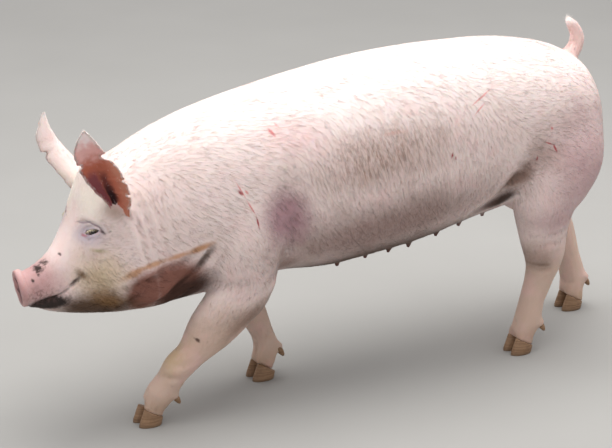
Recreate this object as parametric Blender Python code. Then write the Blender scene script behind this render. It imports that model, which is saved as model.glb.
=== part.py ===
"""A young white sow in mid-step, life size, as a still museum model.

Metres, +Z up. She faces -X, her left side is at -Y, and the origin is on the floor under the middle of
her box. The body is modelled whole, parted with thin cuts, and stands on the flat soles of eight hooves.
"""

import math

import bmesh
import bpy
import numpy as np
from mathutils import Matrix, Vector

# Driving sizes
GAP = 0.0003
BODY_VOXEL = 0.0034
SOFTENING = 10
TRIANGLES = {"head": 3000, "trunk": 2300, "limb": 430, "ear": 420}
RING_POINTS = 40
SHARP_ANGLE = math.radians(50)

# Each trunk ring: name, top (x, z), bottom (x, z), half width, level of the widest place, and how square the
# upper and lower halves are, where 2 is an ellipse
TRUNK = (
    ("rump end", (0.764, 0.622), (0.778, 0.480), 0.072, 0.50, 2.0, 2.0),
    ("pin bones", (0.742, 0.660), (0.752, 0.418), 0.120, 0.46, 2.1, 2.1),
    ("ham", (0.670, 0.699), (0.668, 0.372), 0.153, 0.47, 2.2, 2.1),
    ("hip", (0.560, 0.724), (0.550, 0.350), 0.166, 0.50, 2.3, 2.1),
    ("flank", (0.440, 0.734), (0.445, 0.330), 0.162, 0.50, 2.3, 2.1),
    ("loin", (0.310, 0.738), (0.320, 0.304), 0.166, 0.48, 2.2, 2.1),
    ("barrel", (0.180, 0.734), (0.190, 0.290), 0.170, 0.47, 2.1, 2.1),
    ("ribs", (0.060, 0.720), (0.070, 0.283), 0.166, 0.47, 2.1, 2.1),
    ("heart girth", (-0.050, 0.703), (-0.030, 0.291), 0.158, 0.48, 2.1, 2.1),
    ("withers", (-0.150, 0.686), (-0.130, 0.280), 0.152, 0.50, 2.0, 2.1),
    ("neck base", (-0.235, 0.667), (-0.220, 0.270), 0.138, 0.48, 2.0, 2.1),
    ("neck", (-0.315, 0.640), (-0.280, 0.271), 0.126, 0.44, 2.0, 2.3),
    ("nape", (-0.386, 0.606), (-0.328, 0.268), 0.116, 0.40, 2.1, 2.4),
    ("poll", (-0.441, 0.592), (-0.366, 0.266), 0.110, 0.38, 2.3, 2.4),
    ("brow", (-0.468, 0.545), (-0.400, 0.265), 0.101, 0.40, 2.15, 2.3),
    ("eyes", (-0.485, 0.493), (-0.432, 0.267), 0.090, 0.46, 2.15, 2.2),
    ("cheek front", (-0.507, 0.448), (-0.470, 0.271), 0.074, 0.46, 2.2, 2.1),
    ("muzzle root", (-0.533, 0.4155), (-0.507, 0.278), 0.056, 0.44, 2.1, 2.2),
    ("muzzle", (-0.560, 0.395), (-0.542, 0.287), 0.045, 0.44, 2.1, 2.3),
    ("behind the disc", (-0.590, 0.381), (-0.572, 0.299), 0.0365, 0.48, 2.1, 2.1),
    ("nose", (-0.621, 0.377), (-0.607, 0.305), 0.036, 0.50, 2.1, 2.1),
)

# Snout disc, leaning forward at its top and turned a little to the right
DISC_FRONT = Vector((-0.6115, 0, 0.3450))
DISC_LEAN = math.radians(10)
DISC_YAW = math.radians(9)
DISC_HALF_WIDTH = 0.0405
DISC_HALF_HEIGHT = 0.0395
DISC_THICKNESS = 0.0145
DISC_ROUNDING = 0.0045
DISC_DISH = 0.0015
DISC_RING = 0.010
NOSTRIL_ASIDE = 0.0150
NOSTRIL_RISE = 0.0040
NOSTRIL_RADII = (0.0105, 0.0070, 0.0085)

# Each limb ring: name, centre (x, y, z) on the left, half size fore and aft, half size across
LIMBS = {
    "front_left": (
        ("shoulder blade", (-0.085, 0.080, 0.570), 0.070, 0.060),
        ("shoulder", (-0.130, 0.092, 0.460), 0.092, 0.066),
        ("upper arm", (-0.140, 0.104, 0.370), 0.084, 0.056),
        ("elbow", (-0.142, 0.106, 0.305), 0.067, 0.048),
        ("forearm top", (-0.176, 0.101, 0.260), 0.061, 0.044),
        ("forearm", (-0.221, 0.094, 0.210), 0.053, 0.039),
        ("forearm end", (-0.258, 0.086, 0.165), 0.034, 0.032),
        ("knee", (-0.287, 0.078, 0.136), 0.032, 0.031),
        ("cannon", (-0.305, 0.070, 0.104), 0.029, 0.029),
        ("fetlock", (-0.321, 0.062, 0.078), 0.031, 0.031),
        ("pastern", (-0.334, 0.055, 0.054), 0.027, 0.028),
    ),
    "front_right": (
        ("shoulder blade", (-0.085, 0.080, 0.570), 0.070, 0.060),
        ("shoulder", (-0.120, 0.092, 0.460), 0.092, 0.066),
        ("upper arm", (-0.105, 0.104, 0.370), 0.080, 0.056),
        ("elbow", (-0.084, 0.108, 0.305), 0.062, 0.048),
        ("forearm top", (-0.068, 0.102, 0.250), 0.051, 0.042),
        ("forearm", (-0.046, 0.094, 0.192), 0.040, 0.036),
        ("knee", (-0.020, 0.084, 0.134), 0.029, 0.030),
        ("cannon", (-0.009, 0.076, 0.102), 0.025, 0.027),
        ("fetlock", (-0.004, 0.069, 0.076), 0.027, 0.029),
        ("pastern", (-0.013, 0.062, 0.052), 0.024, 0.028),
    ),
    "hind_left": (
        ("rump", (0.612, 0.070, 0.580), 0.112, 0.070),
        ("ham", (0.634, 0.092, 0.480), 0.132, 0.082),
        ("thigh", (0.618, 0.108, 0.415), 0.108, 0.072),
        ("gaskin top", (0.602, 0.116, 0.362), 0.078, 0.056),
        ("gaskin", (0.603, 0.114, 0.300), 0.060, 0.043),
        ("hock", (0.611, 0.110, 0.240), 0.049, 0.034),
        ("below hock", (0.604, 0.104, 0.190), 0.035, 0.030),
        ("cannon", (0.590, 0.098, 0.135), 0.028, 0.028),
        ("fetlock", (0.582, 0.092, 0.082), 0.030, 0.031),
        ("pastern", (0.572, 0.088, 0.054), 0.026, 0.029),
    ),
    "hind_right": (
        ("rump", (0.615, 0.070, 0.580), 0.112, 0.070),
        ("ham", (0.640, 0.092, 0.480), 0.132, 0.082),
        ("thigh", (0.645, 0.108, 0.415), 0.104, 0.072),
        ("gaskin top", (0.672, 0.116, 0.352), 0.076, 0.054),
        ("gaskin", (0.722, 0.114, 0.296), 0.054, 0.042),
        ("hock", (0.776, 0.110, 0.240), 0.042, 0.034),
        ("below hock", (0.800, 0.104, 0.192), 0.033, 0.030),
        ("cannon", (0.815, 0.098, 0.138), 0.028, 0.028),
        ("fetlock", (0.828, 0.092, 0.084), 0.030, 0.031),
        ("pastern", (0.822, 0.088, 0.055), 0.026, 0.029),
    ),
}
# Where each foot stands: the middle of its two soles, on the left
FEET = {
    "front_left": (-0.350, 0.049),
    "front_right": (-0.026, 0.058),
    "hind_left": (0.560, 0.086),
    "hind_right": (0.812, 0.086),
}
# Where each leg is parted from the trunk: height of the cut, its reach fore and aft, and the same at the floor
LEG_CUTS = {
    "front_left": (0.272, (-0.252, -0.050), (-0.460, -0.200)),
    "front_right": (0.272, (-0.160, 0.010), (-0.130, 0.110)),
    "hind_left": (0.360, (0.512, 0.740), (0.470, 0.700)),
    "hind_right": (0.360, (0.560, 0.780), (0.720, 0.960)),
}
LEG_CUT_INNER = {"front": 0.046, "hind": 0.030}
FOOT_CUT = {"front": 0.128, "hind": 0.196}

# Hoof and dewclaw
FLOOR = 0.006
HOOF_HALF_LENGTH = 0.0265
HOOF_HALF_WIDTH = 0.0148
HOOF_SPREAD = 0.0158
CORONET_HALF_LENGTH = 0.0210
CORONET_HALF_WIDTH = 0.0138
CORONET_BACK = 0.009
CORONET_HEIGHT = 0.029
CORONET_SLOPE = math.radians(29)
HOOF_SIDES = 16
HOOF_SQUARENESS = 2.3
HOOF_POINT = 0.30
HOOF_INNER_SHARE = 0.86
SOLE_SHARE = (0.96, 0.94)
DEWCLAW_LENGTH = 0.021
DEWCLAW_RADIUS = 0.0078
DEWCLAW_SIDES = 8
DEWCLAW_OFFSET = Vector((0.024, 0.018, -0.008))
DEWCLAW_AXIS = Vector((0.50, 0.16, -0.85))
# Share of the length and of the radius at each ring of a dewclaw
DEWCLAW_RINGS = ((-0.25, 1.0), (0.4, 0.92), (0.8, 0.62), (1.0, 0.22))
PAD_RADII = (0.0125, 0.0125, 0.0135)
PAD_SETBACK = 0.006
# Half sizes of a toe, fore and aft and across, at the fetlock, the pastern, the coronet and inside the hoof
TOE_HALF_SIZES = ((0.022, 0.019), (0.0235, 0.0165), (0.0225, 0.0140), (0.0225, 0.0130))
TOE_PARTING = (0.009, 0.004)
TOE_END = Vector((-0.004, 0, -0.020))

# Eye, on the left
EYE_CENTRE = Vector((-0.4624, -0.0525, 0.4624))
EYE_OUT = Vector((-0.40, -0.85, 0.30)).normalized()
EYE_RADIUS = 0.0155
LID_THICKNESS = 0.0036
EYE_SLIT = (0.0165, 0.0042)
EYE_SLIT_DEPTH = 0.018
EYE_SLIT_TILT = math.radians(-12)

# Ear, on the left: root, tip and the way its cup faces
EAR_ROOT = Vector((-0.418, -0.071, 0.514))
EAR_TIPS = {"left": Vector((-0.505, -0.124, 0.706)), "right": Vector((-0.493, -0.116, 0.676))}
EAR_FACING = Vector((-0.50, -0.82, 0.20))
EAR_START = -0.18
EAR_BEND = {"left": 0.010, "right": 0.020}
EAR_ROWS = 30
EAR_COLUMNS = 10
EAR_THICKNESS = (0.0080, 0.0034)
# Share of the ear's length, width around the cup to the front and to the rear, and how far the cup curls
EAR_OUTLINE = {
    "left": (
        (-0.20, 0.012, 0.036, 100),
        (0.00, 0.013, 0.046, 90),
        (0.15, 0.018, 0.056, 75),
        (0.30, 0.027, 0.057, 62),
        (0.50, 0.036, 0.051, 50),
        (0.68, 0.039, 0.036, 40),
        (0.80, 0.037, 0.024, 35),
        (0.90, 0.027, 0.014, 30),
        (1.00, 0.002, 0.002, 26),
    ),
    "right": (
        (-0.20, 0.034, 0.042, 105),
        (0.00, 0.034, 0.052, 96),
        (0.15, 0.034, 0.053, 80),
        (0.30, 0.033, 0.042, 64),
        (0.50, 0.035, 0.026, 50),
        (0.68, 0.037, 0.014, 40),
        (0.80, 0.034, 0.008, 35),
        (0.90, 0.022, 0.005, 30),
        (1.00, 0.002, 0.002, 26),
    ),
}
# Torn notches: side, edge (front or rear), share of the ear's length, depth and half width
EAR_NOTCHES = (
    ("left", "front", 0.67, 0.008, 0.030),
    ("left", "rear", 0.70, 0.018, 0.045),
    ("left", "rear", 0.41, 0.011, 0.026),
    ("left", "rear", 0.22, 0.011, 0.024),
    ("left", "rear", 0.06, 0.007, 0.022),
    ("right", "front", 0.58, 0.008, 0.040),
)

# The line of the mouth and the folds over and under the eye, on the left
MOUTH = (
    (-0.597, 0.0, 0.304),
    (-0.588, -0.024, 0.314),
    (-0.569, -0.037, 0.324),
    (-0.542, -0.048, 0.335),
    (-0.525, -0.052, 0.346),
    (-0.508, -0.063, 0.364),
)
UPPER_LID = ((-0.485, -0.050, 0.459), (-0.478, -0.061, 0.475), (-0.462, -0.071, 0.481), (-0.443, -0.075, 0.475))
LOWER_LID = ((-0.482, -0.053, 0.450), (-0.473, -0.063, 0.446), (-0.459, -0.071, 0.447), (-0.446, -0.076, 0.455))

# Width and depth of the creases along the mouth and the lids
MOUTH_CREASE = (0.0035, 0.0050)
UPPER_CREASE = (0.0034, 0.0026)
LOWER_CREASE = (0.0034, 0.0018)
CHEEKBONE = (-0.452, -0.064, 0.446)
CHEEKBONE_RADII = (0.044, 0.028, 0.026)
CHEEKBONE_TURN = -0.7
HOCK_POINTS = ((0.646, -0.106, 0.262), (0.806, 0.106, 0.268))
HOCK_POINT_RADII = (0.018, 0.017, 0.026)
HOCK_POINT_TURN = 0.2
# Places on the left that stand out: middle, reach and height, and on the body the sides that have them
HEAD_SWELLS = {
    "jowl": ((-0.395, -0.110, 0.350), (0.060, 0.060, 0.060), 0.005),
    "dewlap": ((-0.340, -0.095, 0.300), (0.050, 0.060, 0.035), 0.004),
    "brow": ((-0.464, -0.066, 0.492), (0.030, 0.022, 0.012), 0.001),
    "upper lip": ((-0.520, -0.046, 0.330), (0.030, 0.030, 0.016), 0.003),
    "chin": ((-0.565, -0.012, 0.286), (0.016, 0.022, 0.010), 0.003),
}
BODY_SWELLS = {
    "under the tail": ((0.795, 0.0, 0.580), (0.030, 0.020, 0.026), 0.010, (-1, 1)),
    "left hock": ((0.598, -0.144, 0.248), (0.022, 0.020, 0.016), 0.005, (-1,)),
    "right hock": ((0.762, -0.144, 0.250), (0.022, 0.020, 0.016), 0.005, (1,)),
}
# Furrows on the left: path, width and depth
BODY_CREASES = {
    "jaw": (((-0.420, -0.085, 0.275), (-0.375, -0.110, 0.335), (-0.320, -0.118, 0.375)), 0.014, 0.005),
    "throat": (((-0.300, -0.080, 0.262), (-0.262, -0.118, 0.330), (-0.235, -0.140, 0.400)), 0.016, 0.007),
    "elbow": (((-0.052, -0.120, 0.330), (-0.048, -0.158, 0.420), (-0.070, -0.160, 0.520)), 0.022, 0.007),
    "flank": (((0.500, -0.150, 0.420), (0.520, -0.160, 0.480), (0.560, -0.164, 0.540)), 0.024, 0.006),
}

# Teats: place along the belly and height of the tip
TEATS = (
    (0.1105, 0.2800),
    (0.1810, 0.2855),
    (0.2400, 0.2880),
    (0.2930, 0.2905),
    (0.3630, 0.3040),
    (0.4225, 0.3170),
    (0.4860, 0.3295),
)
TEAT_ASIDE = 0.050
TEAT_NARROWING = 0.03
# Height over the tip and radius of each ring of a teat
TEAT_RINGS = ((0.035, 0.0120), (0.013, 0.0078), (0.006, 0.0060), (0.0, 0.0050))
TEAT_SIDES = 10

# Tail: place and radius
TAIL = (
    ((0.690, 0, 0.636), 0.0220),
    ((0.722, 0, 0.656), 0.0200),
    ((0.744, 0, 0.676), 0.0175),
    ((0.753, 0, 0.698), 0.0160),
    ((0.747, 0, 0.720), 0.0140),
    ((0.734, 0, 0.738), 0.0105),
    ((0.723, 0, 0.750), 0.0050),
)

# Where the limbs blend into the trunk, on the left: middle and reach
SOFT_ZONES = (
    ((-0.100, -0.150, 0.450), (0.130, 0.080, 0.170)),
    ((0.600, -0.150, 0.500), (0.170, 0.090, 0.150)),
    ((0.740, -0.120, 0.450), (0.080, 0.080, 0.110)),
    ((-0.452, -0.085, 0.446), (0.060, 0.035, 0.022)),
)

# Where the head and neck are parted from what is behind them: a point on each cut and its forward direction
HEAD_CUT = (Vector((-0.372, 0, 0.430)), Vector((-0.975, 0, 0.22)).normalized())
NECK_CUT = (Vector((-0.262, 0, 0.430)), Vector((-0.990, 0, 0.14)).normalized())
CUT_MARGIN = 0.012
LOWER_BODY = 0.42
BEYOND = 0.6

# Colour, roughness
FINISHES = {
    "skin": ((0.87, 0.68, 0.62), 0.62),
    "ear": ((0.80, 0.52, 0.47), 0.60),
    "snout": ((0.74, 0.47, 0.43), 0.50),
    "eye": ((0.06, 0.035, 0.025), 0.12),
    "hoof": ((0.74, 0.53, 0.42), 0.48),
    "dewclaw": ((0.66, 0.47, 0.38), 0.52),
}


def curve_through(points, steps):
    """A Catmull-Rom curve through rows of numbers, with steps spans between each two."""
    rows = np.array(points, float)
    padded = np.vstack([2 * rows[0] - rows[1], rows, 2 * rows[-1] - rows[-2]])
    share = np.linspace(0, 1, steps, endpoint=False)[:, None]
    spans = []
    for a, b, c, d in zip(padded, padded[1:], padded[2:], padded[3:]):
        spans.append(
            b
            + 0.5 * share * (c - a)
            + share**2 * (a - 2.5 * b + 2 * c - 0.5 * d)
            + share**3 * (1.5 * b - 1.5 * c + 0.5 * d - 0.5 * a)
        )
    return np.vstack([*spans, rows[-1:]])


def link(name, mesh):
    """A new object of this mesh in the scene."""
    made = bpy.data.objects.new(name, mesh)
    bpy.context.scene.collection.objects.link(made)
    return made


def from_bmesh(name, shape):
    """A new object of this bmesh, which it frees."""
    mesh = bpy.data.meshes.new(name)
    shape.to_mesh(mesh)
    shape.free()
    return link(name, mesh)


def copy_of(made, name):
    """A second object with its own copy of the mesh."""
    return link(name, made.data.copy())


def discard(*objects):
    """Removes helper objects from the scene."""
    for made in objects:
        bpy.data.objects.remove(made)


def side_of(name):
    """-1 for a part on the left, 1 for one on the right."""
    return -1 if "left" in name else 1


def mirrored(point, side):
    """A point given for the left, on this side."""
    return Vector((point[0], -side * point[1], point[2]))


def skin_over(name, rings):
    """A closed object lofted over rings of points, its ends filled."""
    shape = bmesh.new()
    edges = []
    for ring in rings:
        corners = [shape.verts.new(point) for point in ring]
        edges += [shape.edges.new(pair) for pair in zip(corners, corners[1:] + corners[:1])]
    bmesh.ops.bridge_loops(shape, edges=edges)
    bmesh.ops.holes_fill(shape, edges=shape.edges, sides=0)
    bmesh.ops.triangulate(shape, faces=[f for f in shape.faces if len(f.verts) > 4])
    bmesh.ops.recalc_face_normals(shape, faces=shape.faces)
    return from_bmesh(name, shape)


def squared(angle, power):
    """The point of a unit superellipse at this angle."""
    across, up = math.cos(angle), math.sin(angle)
    return (
        math.copysign(abs(across) ** (2 / power), across),
        math.copysign(abs(up) ** (2 / power), up),
    )


def trunk_ring(row):
    """The points of one ring of the trunk."""
    top, bottom = Vector((row[0], 0, row[1])), Vector((row[2], 0, row[3]))
    half_width, level, upper, lower = row[4:]
    rise = top - bottom
    middle = bottom + rise * level
    ring = []
    for step in range(RING_POINTS):
        angle = 2 * math.pi * step / RING_POINTS
        above = math.sin(angle) >= 0
        across, up = squared(angle, upper if above else lower)
        reach = (1 - level) if above else level
        ring.append(middle + Vector((0, across * half_width, 0)) + rise * up * reach)
    return ring


def trunk():
    """The loft from the rump to the nose."""
    rows = [(*top, *bottom, *rest) for _, top, bottom, *rest in TRUNK]
    return skin_over("trunk", [trunk_ring(row) for row in curve_through(rows, 4)])


def limb_of(name, rows, steps=4, sides=20):
    """A loft along a path of (x, y, z, half size fore and aft, half size across)."""
    path = curve_through(rows, steps)
    rings = []
    for index, (x, y, z, fore, aside) in enumerate(path):
        before, after = path[max(index - 1, 0)][:3], path[min(index + 1, len(path) - 1)][:3]
        ahead = (Vector(after) - Vector(before)).normalized()
        across = Vector((0, 1, 0))
        across = (across - ahead * across.dot(ahead)).normalized()
        front = across.cross(ahead)
        ring = []
        for step in range(sides):
            angle = 2 * math.pi * step / sides
            ring.append(Vector((x, y, z)) + front * fore * math.cos(angle) + across * aside * math.sin(angle))
        rings.append(ring)
    return skin_over(name, rings)


def ball(name, centre, radii, turn=0.0, detail=3):
    """An ellipsoid, turned about Y."""
    shape = bmesh.new()
    place = Matrix.Translation(centre) @ Matrix.Rotation(turn, 4, "Y") @ Matrix.Diagonal((*radii, 1))
    bmesh.ops.create_icosphere(shape, subdivisions=detail, radius=1, matrix=place)
    return from_bmesh(name, shape)


def block(name, low, high):
    """A box between two corners."""
    shape = bmesh.new()
    low, high = Vector(low), Vector(high)
    place = Matrix.Translation((low + high) / 2) @ Matrix.Diagonal((*(high - low), 1))
    bmesh.ops.create_cube(shape, size=1, matrix=place)
    return from_bmesh(name, shape)


def facing(forward, up):
    """A turn whose X points forward and whose Z points as near to up as it can."""
    forward = forward.normalized()
    aside = up.cross(forward).normalized()
    return Matrix((forward, aside, forward.cross(aside))).transposed().to_4x4()


def settle(made):
    """Applies the object's modifiers, and returns it."""
    graph = bpy.context.evaluated_depsgraph_get()
    mesh = bpy.data.meshes.new_from_object(made.evaluated_get(graph))
    made.modifiers.clear()
    made.data = mesh
    return made


def fused(name, objects, voxel):
    """One closed skin over all the objects, which it uses up."""
    shape = bmesh.new()
    for each in objects:
        shape.from_mesh(each.data)
    discard(*objects)
    made = from_bmesh(name, shape)
    remesh = made.modifiers.new("fuse", "REMESH")
    remesh.mode = "VOXEL"
    remesh.voxel_size = voxel
    return settle(made)


def softened(made, rounds, zones=()):
    """Relaxes the surface, only within zones of (centre on the left, radii) if any are given."""
    soften = made.modifiers.new("soften", "SMOOTH")
    soften.factor = 0.5
    soften.iterations = rounds
    if zones:
        rows = points_of(made)
        weight = np.zeros(len(rows))
        for centre, radii in zones:
            for side in (-1, 1):
                near = (rows - np.array(mirrored(centre, side))) / np.array(radii)
                weight = np.maximum(weight, np.exp(-((near**2).sum(axis=1) ** 2)))
        group = made.vertex_groups.new(name="soft")
        for index in np.nonzero(weight > 0.02)[0]:
            group.add([int(index)], weight[index], "REPLACE")
        soften.vertex_group = "soft"
    settle(made)
    made.vertex_groups.clear()
    return made


def thinned(made, triangles):
    """The object with about this many triangles."""
    made.data.calc_loop_triangles()
    thin = made.modifiers.new("thin", "DECIMATE")
    thin.ratio = min(1.0, triangles / len(made.data.loop_triangles))
    thin.use_collapse_triangulate = True
    return settle(made)


def largest_piece(made):
    """Keeps only the object's largest closed surface."""
    shape = bmesh.new()
    shape.from_mesh(made.data)
    unseen = set(shape.faces)
    pieces = []
    while unseen:
        piece, edge_of_search = set(), [unseen.pop()]
        while edge_of_search:
            face = edge_of_search.pop()
            piece.add(face)
            for edge in face.edges:
                for other in edge.link_faces:
                    if other in unseen:
                        unseen.remove(other)
                        edge_of_search.append(other)
        pieces.append(piece)
    largest = max(pieces, key=lambda piece: sum(face.calc_area() for face in piece))
    bmesh.ops.delete(shape, geom=[face for face in shape.faces if face not in largest], context="FACES")
    shape.to_mesh(made.data)
    shape.free()
    return made


def combined(made, tool, operation):
    """Cuts the object with the tool, or keeps only what is inside it, and removes the tool."""
    boolean = made.modifiers.new("cut", "BOOLEAN")
    boolean.operation = operation
    boolean.solver = "EXACT"
    boolean.object = tool
    settle(made)
    discard(tool)
    return made


def halved(made, point, normal):
    """Keeps the side of the object that the normal points to, with a flat filled face."""
    shape = bmesh.new()
    shape.from_mesh(made.data)
    everything = [*shape.verts, *shape.edges, *shape.faces]
    bmesh.ops.bisect_plane(shape, geom=everything, dist=1e-7, plane_co=point, plane_no=normal, clear_inner=True)
    rim = [edge for edge in shape.edges if edge.is_boundary]
    filled = bmesh.ops.holes_fill(shape, edges=rim, sides=0)
    bmesh.ops.triangulate(shape, faces=filled["faces"])
    shape.to_mesh(made.data)
    shape.free()
    return made


def grown(made, name):
    """A copy whose surface is pushed out by the gap."""
    larger = copy_of(made, name)
    push = larger.modifiers.new("push", "DISPLACE")
    push.strength = GAP
    push.mid_level = 0
    return settle(larger)


def points_of(made):
    """The object's vertices as rows of numbers."""
    rows = np.empty(len(made.data.vertices) * 3, np.float32)
    made.data.vertices.foreach_get("co", rows)
    return rows.reshape(-1, 3).astype(float)


def normals_of(made):
    """The object's vertex normals as rows of numbers."""
    rows = np.empty(len(made.data.vertices) * 3, np.float32)
    made.data.vertex_normals.foreach_get("vector", rows)
    return rows.reshape(-1, 3).astype(float)


def put_points(made, rows):
    """Moves the object's vertices to these rows."""
    made.data.vertices.foreach_set("co", rows.astype(np.float32).ravel())
    made.data.update()


def swell(made, centre, radii, amount, sides=(-1, 1)):
    """Pushes the surface out around a place given for the left, or in if the amount is negative."""
    rows, normals = points_of(made), normals_of(made)
    for side in sides:
        near = (rows - np.array(mirrored(centre, side))) / np.array(radii)
        rows += normals * (amount * np.exp(-(near**2).sum(axis=1)))[:, None]
    put_points(made, rows)


def crease(made, path, width, depth, sides=(-1, 1)):
    """Presses a furrow along a path given for the left, or raises a ridge if the depth is negative."""
    rows, normals = points_of(made), normals_of(made)
    for side in sides:
        line = curve_through([mirrored(point, side) for point in path], 6)
        nearest = np.full(len(rows), np.inf)
        for start, end in zip(line, line[1:]):
            run = end - start
            share = np.clip(((rows - start) @ run) / (run @ run), 0, 1)
            nearest = np.minimum(nearest, np.linalg.norm(rows - start - share[:, None] * run, axis=1))
        rows -= normals * (depth * np.exp(-((nearest / width) ** 2)))[:, None]
    put_points(made, rows)


def limb_rows(foot):
    """The rings of one limb, on its own side."""
    side = side_of(foot)
    return [(x, side * y, z, fore, aside) for _, (x, y, z), fore, aside in LIMBS[foot]]


def foot_place(foot):
    """The middle of a foot's soles."""
    x, y = FEET[foot]
    return Vector((x, side_of(foot) * y, FLOOR))


def coronet(foot):
    """A point on the foot's coronet plane and the plane's upward normal."""
    point = foot_place(foot) + Vector((CORONET_BACK, 0, CORONET_HEIGHT))
    return point, Vector((math.sin(CORONET_SLOPE), 0, math.cos(CORONET_SLOPE)))


def dewclaw_place(foot, aside):
    """Where a dewclaw leaves the leg, and the way it points."""
    x, y, z = limb_rows(foot)[-2][:3]
    turned = Vector((1, aside, 1))
    return Vector((x, y, z)) + DEWCLAW_OFFSET * turned, (DEWCLAW_AXIS * turned).normalized()


def toes_of(foot):
    """The two fleshy toes of a foot and the pads that carry its dewclaws."""
    pastern, fetlock = (Vector(limb_rows(foot)[index][:3]) for index in (-1, -2))
    middle, _ = coronet(foot)
    made = []
    for aside in (-1, 1):
        at_coronet = middle + Vector((0, aside * HOOF_SPREAD, 0))
        at_fetlock = fetlock + Vector((0, aside * TOE_PARTING[0], 0))
        at_pastern = pastern + Vector((0, (at_coronet.y - pastern.y) / 2 + aside * TOE_PARTING[1], 0))
        places = (at_fetlock, at_pastern, at_coronet, at_coronet + TOE_END)
        made.append(limb_of("toe", [(*place, *sizes) for place, sizes in zip(places, TOE_HALF_SIZES)]))
        centre, axis = dewclaw_place(foot, aside)
        made.append(ball("pad", centre - axis * PAD_SETBACK, PAD_RADII))
    return made


def hoof(foot, aside):
    """One of the two hooves of a foot, flat below and cut off at the coronet above."""
    floor = foot_place(foot)
    point, normal = coronet(foot)
    rings = []
    for rise in (0.0, 0.15, 1.0):
        centre_x = floor.x + CORONET_BACK * rise
        half_length = HOOF_HALF_LENGTH + (CORONET_HALF_LENGTH - HOOF_HALF_LENGTH) * rise
        half_width = HOOF_HALF_WIDTH + (CORONET_HALF_WIDTH - HOOF_HALF_WIDTH) * rise
        if rise == 0.0:
            half_length, half_width = half_length * SOLE_SHARE[0], half_width * SOLE_SHARE[1]
        ring = []
        for step in range(HOOF_SIDES):
            angle = 2 * math.pi * step / HOOF_SIDES
            across, along = squared(angle, HOOF_SQUARENESS)
            x = centre_x + along * half_length
            inner = across * aside < 0
            taper = 1 - HOOF_POINT * max(0.0, -along) ** 2
            reach = half_width * taper * (HOOF_INNER_SHARE if inner else 1.0)
            y = floor.y + aside * HOOF_SPREAD + across * reach
            top = point.z - (x - point.x) * math.tan(CORONET_SLOPE) - GAP
            ring.append(Vector((x, y, FLOOR + (top - FLOOR) * rise)))
        rings.append(ring)
    return skin_over(f"{foot}_hoof_{place_name(foot, aside)}", rings)


def place_name(foot, aside):
    """Inner or outer, for the toe on this side of a foot."""
    return "outer" if aside == side_of(foot) else "inner"


def dewclaw(foot, aside, shank):
    """A small blunt claw behind the fetlock, set against the foot."""
    centre, axis = dewclaw_place(foot, aside)
    rows = []
    for share, radius in DEWCLAW_RINGS:
        place = centre + axis * share * DEWCLAW_LENGTH
        rows.append((*place, radius * DEWCLAW_RADIUS, radius * DEWCLAW_RADIUS))
    made = limb_of(f"{foot}_dewclaw_{place_name(foot, aside)}", rows, steps=1, sides=DEWCLAW_SIDES)
    combined(made, grown(shank, "foot grown"), "DIFFERENCE")
    return largest_piece(made)


def teats():
    """Two rows of small nipples under the belly."""
    made = []
    for index, (x, tip) in enumerate(TEATS):
        for side in (-1, 1):
            y = side * TEAT_ASIDE * (1 - TEAT_NARROWING * index)
            rows = [(x, y, tip + rise, radius, radius) for rise, radius in TEAT_RINGS]
            made.append(limb_of("teat", rows, sides=TEAT_SIDES))
    return made


def body_blocks():
    """The lofts and pads that the body is fused from."""
    blocks = [trunk(), *teats()]
    for foot in FEET:
        blocks.append(limb_of(foot, limb_rows(foot)))
        blocks += toes_of(foot)
    for side in (-1, 1):
        blocks.append(ball("cheekbone", mirrored(CHEEKBONE, side), CHEEKBONE_RADII, CHEEKBONE_TURN))
        blocks.append(ball("lids", mirrored(EYE_CENTRE, side), (EYE_RADIUS + LID_THICKNESS,) * 3))
    for centre in HOCK_POINTS:
        blocks.append(ball("hock point", centre, HOCK_POINT_RADII, HOCK_POINT_TURN))
    return blocks


def shape_head(body):
    """Presses in the lines of the mouth and lids and fills out the brow, lips and jaw."""
    for centre, radii, height in HEAD_SWELLS.values():
        swell(body, centre, radii, height)
    for path, width, depth in ((MOUTH, *MOUTH_CREASE), (UPPER_LID, *UPPER_CREASE), (LOWER_LID, *LOWER_CREASE)):
        crease(body, path, width, depth)


def shape_body(body):
    """Presses in the folds of the throat, elbow and flank and fills out the rump and hocks."""
    for path, width, depth in BODY_CREASES.values():
        crease(body, path, width, depth)
    for centre, radii, height, sides in BODY_SWELLS.values():
        swell(body, centre, radii, height, sides)


def head_of(body):
    """The head, with sockets and slits for the eyes."""
    made = copy_of(body, "head")
    halved(made, HEAD_CUT[0] - HEAD_CUT[1] * CUT_MARGIN, HEAD_CUT[1])
    thinned(made, TRIANGLES["head"])
    halved(made, HEAD_CUT[0] + HEAD_CUT[1] * GAP / 2, HEAD_CUT[1])
    forward, _, _, back = disc_frame()
    halved(made, back - forward * GAP, -forward)
    for side in (-1, 1):
        centre, out = mirrored(EYE_CENTRE, side), mirrored(EYE_OUT, side)
        socket = ball("socket", centre, (EYE_RADIUS + GAP,) * 3)
        combined(socket, eye_slit(centre, out, side), "UNION")
        combined(made, socket, "DIFFERENCE")
    return largest_piece(made)


def eye_slit(centre, out, side):
    """The almond between the lids, as a cutter."""
    shape = bmesh.new()
    bmesh.ops.create_icosphere(shape, subdivisions=3, radius=1)
    bmesh.ops.scale(shape, vec=(EYE_SLIT_DEPTH, *EYE_SLIT), verts=shape.verts)
    lean = Matrix.Rotation(side * EYE_SLIT_TILT, 4, "X")
    place = Matrix.Translation(centre + out * EYE_RADIUS) @ facing(out, Vector((0, 0, 1))) @ lean
    bmesh.ops.transform(shape, matrix=place, verts=shape.verts)
    return from_bmesh("slit", shape)


def eye(side):
    """An eyeball."""
    name = "eye_left" if side < 0 else "eye_right"
    return ball(name, mirrored(EYE_CENTRE, side), (EYE_RADIUS,) * 3)


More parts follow.
